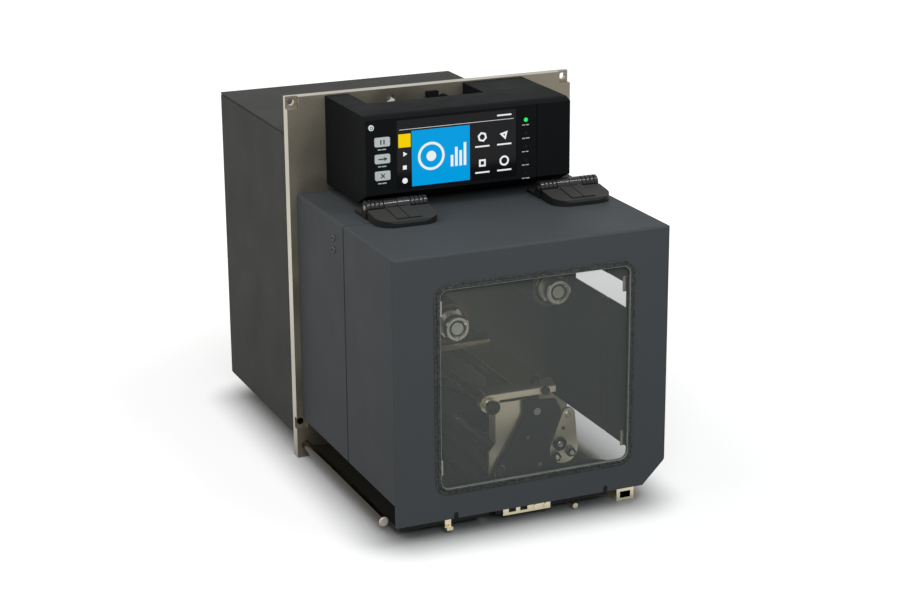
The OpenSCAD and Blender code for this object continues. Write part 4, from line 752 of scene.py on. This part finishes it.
def seal_strip(x0, x1, z0, z1, step, seam):
    """A strip behind a seam whose back part steps out to its seat on the wall."""
    front = seam - 6 * MM
    back = seam + 7 * MM
    edge = 0.12 * MM
    outward = Vector(step)
    least = FACING * outward.length
    strip = box("strip", (x0, front, z0), (x1, back, z1))
    edit(strip)
    bpy.ops.mesh.select_all(action="SELECT")
    bpy.ops.mesh.bisect(plane_co=(0, seam, 0), plane_no=(0, 1, 0))
    pick(strip, "faces",
         lambda face: face.normal.dot(outward) > least and face.calc_center_median().y > seam)
    extrude(*outward)
    leave_edit()
    return round_off(strip, edge)


def tile(x0, x1, z0, z1, y):
    """A thin plate facing the front."""
    return box("tile", (x0, y - sizes().mark, z0), (x1, y, z1))


def disc(x, z, radius, y, sides=32, hole=0.0, turn=0):
    """A thin disc, polygon or ring facing the front, turned by degrees."""
    bpy.ops.object.select_all(action="DESELECT")
    bpy.ops.mesh.primitive_circle_add(
        vertices=sides, radius=radius, fill_type="NGON", location=(x, y, z),
        rotation=(math.radians(90), math.radians(turn), 0))
    piece = named("disc")
    edit(piece)
    bpy.ops.mesh.select_all(action="SELECT")
    if hole:
        bpy.ops.mesh.inset(thickness=radius - hole)
        bpy.ops.mesh.delete(type="FACE")
        bpy.ops.mesh.select_all(action="SELECT")
    extrude(0, -sizes().mark, 0)
    leave_outward()
    return piece


class ENGINE_OT_screen(bpy.types.Operator):
    """Lays the tiles and marks of a plain menu on the display."""

    bl_idname = "engine.screen"
    bl_label = "Display"

    def execute(self, context):
        left, face, low = SCREEN_LOW
        right, _, top = SCREEN_HIGH
        field_left = left + 12 * MM
        field_right = left + 60 * MM
        field_face = face - sizes().mark
        field = tile(field_left, field_right, low + 0.8 * MM, low + 44 * MM, face)
        fit("screen_tile", [field], "engine", "glow_tile")

        step = 10.4 * MM
        symbol_x = left + 6.2 * MM
        symbol_z = low + 5.8 * MM
        tab_low = symbol_z + 2.5 * step
        tab = tile(left + 1.2 * MM, left + 11.2 * MM, tab_low, symbol_z + 3.5 * step, face)
        fit("screen_tab", [tab], "engine", "glow_tab")

        white = [tile(right - 16 * MM, right - 4 * MM, top - 4.6 * MM, top - 3.4 * MM, face),
                 tile(left + 2 * MM, right - 2 * MM, low + 45.4 * MM, low + 45.7 * MM, face)]
        for i, (sides, turn) in enumerate(((24, 0), (4, 45), (3, 90))):
            white.append(disc(symbol_x, symbol_z + i * step, 2.2 * MM, face, sides, turn=turn))
        dial_x = field_left + 16 * MM
        dial_z = low + 23 * MM
        white.append(disc(dial_x, dial_z, 11 * MM, field_face, 48, 9 * MM))
        white.append(disc(dial_x, dial_z, 4 * MM, field_face))
        bars_low = dial_z - 10 * MM
        for i, height in enumerate((9, 15, 12, 18)):
            bar_x = field_left + (32 + 3.6 * i) * MM
            white.append(tile(bar_x, bar_x + 2.2 * MM, bars_low, bars_low + height * MM, field_face))
        for i, sides in enumerate((4, 24, 6, 3)):
            row, column = divmod(i, 2)
            cell_x = field_right + (10.5 + 18.5 * column) * MM
            cell_z = low + (13 + 20.5 * row) * MM
            line_z = cell_z - 8 * MM
            white.append(disc(cell_x, cell_z, 4 * MM, face, sides, 2.6 * MM, 45))
            white.append(tile(cell_x - 6 * MM, cell_x + 6 * MM, line_z, line_z + 1.2 * MM, face))
        fit("screen_marks", white, "engine", "glow_white")
        return {"FINISHED"}


class ENGINE_OT_marks(bpy.types.Operator):
    """Prints plain symbols on the keys and short dashes under the keys and lights."""

    bl_idname = "engine.marks"
    bl_label = "Key symbols"

    def execute(self, context):
        stroke = 0.5 * MM
        x, y, z = front_centre("pause_button")
        bars = [tile(bar_x - stroke, bar_x + stroke, z - 1.8 * MM, z + 1.8 * MM, y)
                for bar_x in (x - 1.3 * MM, x + 1.3 * MM)]
        fit("pause_symbol", bars, "pause_key", "mark_dark")
        x, y, z = front_centre("feed_button")
        arrow = [disc(x + 2.2 * MM, z, 1.8 * MM, y, 3, turn=90),
                 tile(x - 3.4 * MM, x + 1.4 * MM, z - stroke, z + stroke, y)]
        fit("feed_symbol", arrow, "feed_key", "mark_dark")
        x, y, z = front_centre("cancel_button")
        cross = []
        for turn in (-45, 45):
            bar = tile(x - 2.2 * MM, x + 2.2 * MM, z - 0.4 * MM, z + 0.4 * MM, y)
            cross.append(slanted(bar, (x, y, z), turn))
        fit("cancel_symbol", cross, "cancel_key", "mark_dark")
        x, y, z = front_centre("power_button")
        fit("power_symbol", [disc(x, z, 1.3 * MM, y, 24, 0.8 * MM)], "power_key", "mark_dark")

        marks = []
        for node in ("pause_button", "feed_button", "cancel_button"):
            low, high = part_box(node)
            spans = ((-3.6, 2.6), (-0.4, 3.6))
            marks += dashes((low.x + high.x) / 2, low.z - 1.9 * MM, 0.8 * MM, spans)
        low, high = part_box("status_lights")
        lights = 5
        lens = high.x - low.x
        pitch = (high.z - low.z - lens) / (lights - 1)
        for i in range(lights):
            spans = ((-3.4, 2.4), (-0.4, 3.4 - 0.5 * (i % 3)))
            marks += dashes((low.x + high.x) / 2, low.z + i * pitch - 2.6 * MM, 0.7 * MM, spans)
        fit("panel_dashes", marks, "engine", "mark_pale")
        return {"FINISHED"}


def dashes(x, z, height, spans):
    """Dashes on the panel's front; each span is a start beside x and a length, in millimetres."""
    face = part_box("panel_bezel")[0].y
    return [tile(x + start * MM, x + (start + length) * MM, z, z + height, face)
            for start, length in spans]


def slanted(piece, centre, degrees):
    """Turns a mark in the plane of the front."""
    edit(piece)
    bpy.ops.mesh.select_all(action="SELECT")
    bpy.ops.transform.rotate(value=math.radians(degrees), orient_axis="Y", center_override=centre)
    leave_edit()
    return piece


class ENGINE_OT_screws(bpy.types.Operator):
    """Models the domed screws of the cover with their sunk sockets."""

    bl_idname = "engine.screws"
    bl_label = "Cover screws"

    def execute(self, context):
        low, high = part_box("cover_screws")
        radius = (high.y - low.y) / 2
        y = low.y + radius
        heads = []
        for z in (low.z + radius, high.z - radius):
            heads.append(screw_head((DOOR_LOW.x, y, z), -1, radius, DOOR_LOW.x - low.x))
            heads.append(screw_head((DOOR_HIGH.x, y, z), 1, radius, high.x - DOOR_HIGH.x))
        fit("cover_screw_heads", heads, "engine", "knob_black", "cover_screws")
        return {"FINISHED"}


# Inset and rise of each step of a domed head, as shares of its radius and height
DOME_STEPS = ((0.12, 0.35), (0.2, 0.2), (0.18, 0.1))


def screw_head(seat, side, radius, height):
    """A domed head on a side wall with a round socket sunk into it."""
    wall = 0.35 * height
    socket_rim = 0.02 * radius
    socket_depth = 0.7 * height
    bpy.ops.object.select_all(action="DESELECT")
    bpy.ops.mesh.primitive_circle_add(
        vertices=24, radius=radius, fill_type="NGON", location=seat,
        rotation=(0, side * math.radians(90), 0))
    head = named("screw_head")
    edit(head)
    bpy.ops.mesh.select_all(action="SELECT")
    extrude(side * wall, 0, 0)
    for width, rise in DOME_STEPS:
        step_face(width * radius, side * rise * height, 0, 0)
    bpy.ops.mesh.inset(thickness=socket_rim)
    extrude(-side * socket_depth, 0, 0)
    leave_outward()
    return head


# Inset and rise of each step of a spindle cap's centre, in millimetres, the last one a dimple
CAP_STEPS = ((0.01, 0.5), (0.5, 0.3), (1.6, 0.1), (0.9, -0.5))


class ENGINE_OT_caps(bpy.types.Operator):
    """Fits a dull domed centre with a dark ring round it, painted shade in the groove, into the dished cap of each
    spindle.
    """

    bl_idname = "engine.caps"
    bl_label = "Spindle caps"

    def execute(self, context):
        dish_depth = 1.2 * MM
        dish_radius = 6.3 * MM
        centre_radius = 4.9 * MM
        for node in ("supply_spindle", "takeup_spindle"):
            x, y, z = front_centre(node)
            floor = y + dish_depth
            # A flat dark ring on the dish's floor round the centre: painted shade in the groove
            groove = disc(x, z, dish_radius, floor, 48, centre_radius)
            settle(groove, BODY[node], "mark_dark").name = f"{node}_groove"
            centre = disc(x, z, centre_radius, floor, 48)
            edit(centre)
            pick(centre, "faces", facing_front())
            for width, rise in CAP_STEPS:
                step_face(width * MM, 0, -rise * MM, 0)
            leave_edit()
            settle(centre, BODY[node], "cap_centre").name = f"{node}_centre"
        return {"FINISHED"}


# Place across, height and radius of the screws on the cheek
CHEEK_SCREWS = [(21.5 * MM, 70 * MM, 2.7 * MM), (14 * MM, 50 * MM, 1.2 * MM), (24 * MM, 26 * MM, 1.6 * MM)]


class ENGINE_OT_fixings(bpy.types.Operator):
    """Models the small screws of the latch and the cheek."""

    bl_idname = "engine.fixings"
    bl_label = "Mechanism screws"

    def execute(self, context):
        latch_low, latch_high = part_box("head_latch")
        tip_radius = 5.5 * MM
        points = [vertex.co for vertex in frame["nodes"]["head_latch"].data.vertices]
        tip = max(points, key=lambda point: point.z)
        heads = [socket_screw(tip.x, tip.z - tip_radius, latch_low.y, 2.6 * MM)]
        for low, high in loose_boxes("latch_knobs"):
            heads.append(socket_screw((low.x + high.x) / 2, (low.z + high.z) / 2, low.y, 1.8 * MM))
        fit("latch_screws", heads, BODY["head_latch"], "machined_steel")
        pivot = joint_place("latch_swing")
        stud = socket_screw(pivot[0], pivot[2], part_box("mech_cheek")[0].y, 2.4 * MM)
        settle(stud, "engine", "machined_steel").name = "latch_stud_screw"
        face = latch_high.y + 0.4 * MM
        rings = []
        for x, z, radius in CHEEK_SCREWS:
            rings.append(disc(x, z, radius, face, 32, 0.68 * radius))
            rings.append(disc(x, z, 0.4 * radius, face, 24))
        fit("cheek_screws", rings, "engine", "machined_steel")
        return {"FINISHED"}


def socket_screw(x, z, y, radius):
    """A round head on a face that looks to the front, with a socket sunk into it."""
    wall = 0.3 * radius
    bevel_width = 0.14 * radius
    bevel_rise = 0.12 * radius
    socket_rim = 0.36 * radius
    socket_depth = 0.36 * radius
    head = disc(x, z, radius, y, 24)
    edit(head)
    pick(head, "faces", facing_front())
    extrude(0, -wall, 0)
    step_face(bevel_width, 0, -bevel_rise, 0)
    bpy.ops.mesh.inset(thickness=socket_rim)
    extrude(0, socket_depth, 0)
    leave_edit()
    return head


class ENGINE_OT_ports(bpy.types.Operator):
    """Fits dark inserts with contacts into the interface sockets."""

    bl_idname = "engine.ports"
    bl_label = "Port inserts"

    def execute(self, context):
        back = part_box("io_ports")[1].y
        floor = back - 1.4 * MM
        wall = Vector((1.6 * MM, 0, 1.6 * MM))
        tongue_half = 0.9 * MM
        tongue_gap = 1.5 * MM
        row_end = 2 * MM
        pin_pitch = 2 * MM
        pin_half = 0.3 * MM
        inserts = []
        contacts = []
        for outer_low, outer_high in loose_boxes("io_ports"):
            low = outer_low + wall
            high = outer_high - wall
            middle_x = (low.x + high.x) / 2
            insert = box("insert", (low.x, floor, low.z), (high.x, floor + 0.5 * MM, high.z))
            inserts.append(round_off(insert, 0.1 * MM))
            tongue = box("tongue", (middle_x - tongue_half, floor, low.z + tongue_gap),
                         (middle_x + tongue_half, back - 0.2 * MM, high.z - tongue_gap))
            inserts.append(round_off(tongue, 0.2 * MM))
            count = max(4, int((high.z - low.z) / pin_pitch))
            for i in range(count):
                z = low.z + row_end + (high.z - low.z - 2 * row_end) * (i + 0.5) / count
                contact = box("contact", (middle_x + 0.85 * MM, floor, z - pin_half),
                              (middle_x + 1.05 * MM, back - 0.5 * MM, z + pin_half))
                contacts.append(round_off(contact, 0.05 * MM, 1))
        fit("port_inserts", inserts, "engine", "port_insert")
        fit("port_contacts", contacts, "engine", "contact_gold")
        return {"FINISHED"}


def loose_boxes(node):
    """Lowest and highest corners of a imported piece's separate solids."""
    open_copy(node, "loose")
    bpy.ops.mesh.separate(type="LOOSE")
    leave_edit()
    corners = []
    for part in list(bpy.context.selected_objects):
        points = [vertex.co for vertex in part.data.vertices]
        corners.append((Vector(map(min, zip(*points))), Vector(map(max, zip(*points)))))
        bpy.data.objects.remove(part)
    return corners


class ENGINE_OT_stage(bpy.types.Operator):
    """Sets up the pale floor, the soft light and the camera."""

    bl_idname = "engine.stage"
    bl_label = "Stage"

    def execute(self, context):
        s = context.scene.stage_settings
        lay_floor()
        context.scene.world = soft_sky(s.sky)
        lamp("key", place=(-0.35, -1.4, 1.15), target=(0, -0.1, 0.15), size=(0.9, 0.9),
             power=s.key_light, tint=(0.9, 0.97, 1))
        lamp("side", place=(-0.95, 0, 0.8), target=(0, -0.1, 0.2), size=(0.9, 0.9),
             power=s.side_light, tint=(1, 0.97, 0.92))
        lamp("strip", place=(0.45, -0.68, 1.17), target=(0, -0.08, 0.23), size=(0.5, 0.06),
             power=s.strip_light, tint=(1, 1, 1))
        context.scene.camera = photo_camera(s)
        context.scene.view_settings.view_transform = "Standard"
        return {"FINISHED"}


def lay_floor():
    """Lays the floor just under the object."""
    gap = 0.3 * MM
    bpy.ops.object.select_all(action="DESELECT")
    bpy.ops.mesh.primitive_plane_add(size=24, location=(0, 0, -gap))
    floor = named("floor")
    floor.data.materials.append(white_ground("floor_white"))


def soft_sky(strength):
    """Even light all round, seen as plain white."""
    world = bpy.data.worlds.new("soft_sky")
    world.use_nodes = True
    tree = world.node_tree
    light = tree.nodes["Background"]
    light.inputs["Color"].default_value = (1, 0.99, 0.965, 1)
    light.inputs["Strength"].default_value = strength
    seen = add(tree, "ShaderNodeBackground")
    seen.inputs["Color"].default_value = (1, 1, 1, 1)
    mix = add(tree, "ShaderNodeMixShader")
    feed(tree, background_rays(tree), mix.inputs["Fac"])
    feed(tree, light.outputs[0], mix.inputs[1])
    feed(tree, seen.outputs[0], mix.inputs[2])
    feed(tree, mix.outputs[0], tree.nodes["World Output"].inputs["Surface"])
    return world


def photo_camera(s):
    """The camera at the chosen place and angle."""
    view = bpy.data.cameras.new("photo_view")
    view.sensor_width = SENSOR_WIDTH
    view.lens = SENSOR_WIDTH * s.focal
    camera = bpy.data.objects.new("photo_view", view)
    bpy.context.scene.collection.objects.link(camera)
    camera.location = s.camera_at
    turn = Matrix.Rotation(-s.azimuth, 3, "Z") @ Matrix.Rotation(math.pi / 2 - s.pitch, 3, "X")
    camera.rotation_euler = (turn @ Matrix.Rotation(-s.roll, 3, "Z")).to_euler()
    return camera


def lamp(name, place, target, size, power, tint):
    """A soft light of a given width and height, aimed at a point."""
    data = bpy.data.lights.new(name, "AREA")
    data.shape = "RECTANGLE"
    data.size = size[0]
    data.size_y = size[1]
    data.energy = power
    data.color = tint
    light = bpy.data.objects.new(name, data)
    bpy.context.scene.collection.objects.link(light)
    light.location = place
    light.rotation_euler = (Vector(target) - Vector(place)).to_track_quat("-Z", "Y").to_euler()


def background_rays(tree):
    """One for the rays that show the background: straight, mirrored or through glass."""
    path = add(tree, "ShaderNodeLightPath")
    first = add(tree, "ShaderNodeMath", operation="MAXIMUM")
    both = add(tree, "ShaderNodeMath", operation="MAXIMUM")
    feed(tree, path.outputs["Is Camera Ray"], first.inputs[0])
    feed(tree, path.outputs["Is Glossy Ray"], first.inputs[1])
    feed(tree, first.outputs[0], both.inputs[0])
    feed(tree, path.outputs["Is Transmission Ray"], both.inputs[1])
    return both.outputs[0]


# Where each of the floor's fades to white starts and ends, and the share of white that it adds
FLOOR_FADES = ((5 * MM, 60 * MM, 0.72), (60 * MM, 400 * MM, 0.28))


def past_painted_shade(tree):
    """How far a point of the floor lies outside the plain patch under the object, where no white is added and the
    floor shows a painted shade.
    """
    # The patch lies inside the object's footprint, further in on the right, so the painted shade round the object
    # is narrower on the right
    margin = 25 * MM
    right_margin = 45 * MM
    low = Vector(cad_box[0]) + Vector((margin, margin, 0))
    high = Vector(cad_box[1]) - Vector((right_margin, margin, 0))
    centre = (low + high) / 2
    half = (high - low) / 2
    point = add(tree, "ShaderNodeTexCoord").outputs["Object"]
    for operation, other in (("SUBTRACT", (centre.x, centre.y, 0)), ("ABSOLUTE", (0, 0, 0)),
                             ("SUBTRACT", (half.x, half.y, 0)), ("MAXIMUM", (0, 0, 0))):
        step = add(tree, "ShaderNodeVectorMath", operation=operation)
        step.inputs[1].default_value = other
        feed(tree, point, step.inputs[0])
        point = step.outputs[0]
    reach = add(tree, "ShaderNodeVectorMath", operation="LENGTH")
    feed(tree, point, reach.inputs[0])
    return reach.outputs["Value"]


def white_ground(name):
    """Floor that is plain under the object and close to it, and fades to white away from it; the plain floor round
    the footprint is partly the object's real shadow and partly painted shade.
    """
    material = bpy.data.materials.new(name)
    material.use_nodes = True
    tree = material.node_tree
    shader = tree.nodes["Principled BSDF"]
    shader.inputs["Base Color"].default_value = (0.3, 0.3, 0.3, 1)
    shader.inputs["Roughness"].default_value = 0.9
    shader.inputs["Specular IOR Level"].default_value = 0
    reach = past_painted_shade(tree)
    whole = add(tree, "ShaderNodeMath", operation="ADD")
    for i, (start, end, gain) in enumerate(FLOOR_FADES):
        fade = add(tree, "ShaderNodeMapRange", interpolation_type="SMOOTHSTEP")
        fade.inputs["From Min"].default_value = start
        fade.inputs["From Max"].default_value = end
        fade.inputs["To Max"].default_value = gain
        feed(tree, reach, fade.inputs["Value"])
        feed(tree, fade.outputs[0], whole.inputs[i])
    strength = add(tree, "ShaderNodeMath", operation="MULTIPLY")
    glow = add(tree, "ShaderNodeEmission")
    total = add(tree, "ShaderNodeAddShader")
    feed(tree, whole.outputs[0], strength.inputs[0])
    feed(tree, background_rays(tree), strength.inputs[1])
    feed(tree, strength.outputs[0], glow.inputs["Strength"])
    feed(tree, shader.outputs[0], total.inputs[0])
    feed(tree, glow.outputs[0], total.inputs[1])
    feed(tree, total.outputs[0], tree.nodes["Material Output"].inputs["Surface"])
    return material


OPERATORS = (ENGINE_OT_stage, ENGINE_OT_finishes, ENGINE_OT_edges, ENGINE_OT_hinges, ENGINE_OT_window,
             ENGINE_OT_seal, ENGINE_OT_screen, ENGINE_OT_marks, ENGINE_OT_screws, ENGINE_OT_caps,
             ENGINE_OT_fixings, ENGINE_OT_ports)


class ENGINE_PT_looks(bpy.types.Panel):
    """Lists the steps that dress the print engine."""

    bl_idname = "ENGINE_PT_looks"
    bl_label = "Print engine"
    bl_space_type = "VIEW_3D"
    bl_region_type = "UI"
    bl_category = "Print Engine"

    def draw(self, context):
        for operator in OPERATORS:
            self.layout.operator(operator.bl_idname)


GROUPS = (EngineColours, EngineSizes, StageSettings)


def register():
    """Registers the classes and their settings."""
    for item in (*GROUPS, *OPERATORS, ENGINE_PT_looks):
        bpy.utils.register_class(item)
    bpy.types.Scene.engine_colours = bpy.props.PointerProperty(type=EngineColours)
    bpy.types.Scene.engine_sizes = bpy.props.PointerProperty(type=EngineSizes)
    bpy.types.Scene.stage_settings = bpy.props.PointerProperty(type=StageSettings)


def unregister():
    """Takes the classes and settings away again."""
    del bpy.types.Scene.stage_settings
    del bpy.types.Scene.engine_sizes
    del bpy.types.Scene.engine_colours
    for item in reversed((*GROUPS, *OPERATORS, ENGINE_PT_looks)):
        bpy.utils.unregister_class(item)


def main():
    """Dresses the engine step by step."""
    register()
    bpy.ops.engine.stage()
    bpy.ops.engine.finishes()
    bpy.ops.engine.edges()
    bpy.ops.engine.hinges()
    bpy.ops.engine.window()
    bpy.ops.engine.seal()
    bpy.ops.engine.screen()
    bpy.ops.engine.marks()
    bpy.ops.engine.screws()
    bpy.ops.engine.caps()
    bpy.ops.engine.fixings()
    bpy.ops.engine.ports()


if __name__ == "__main__":
    main()
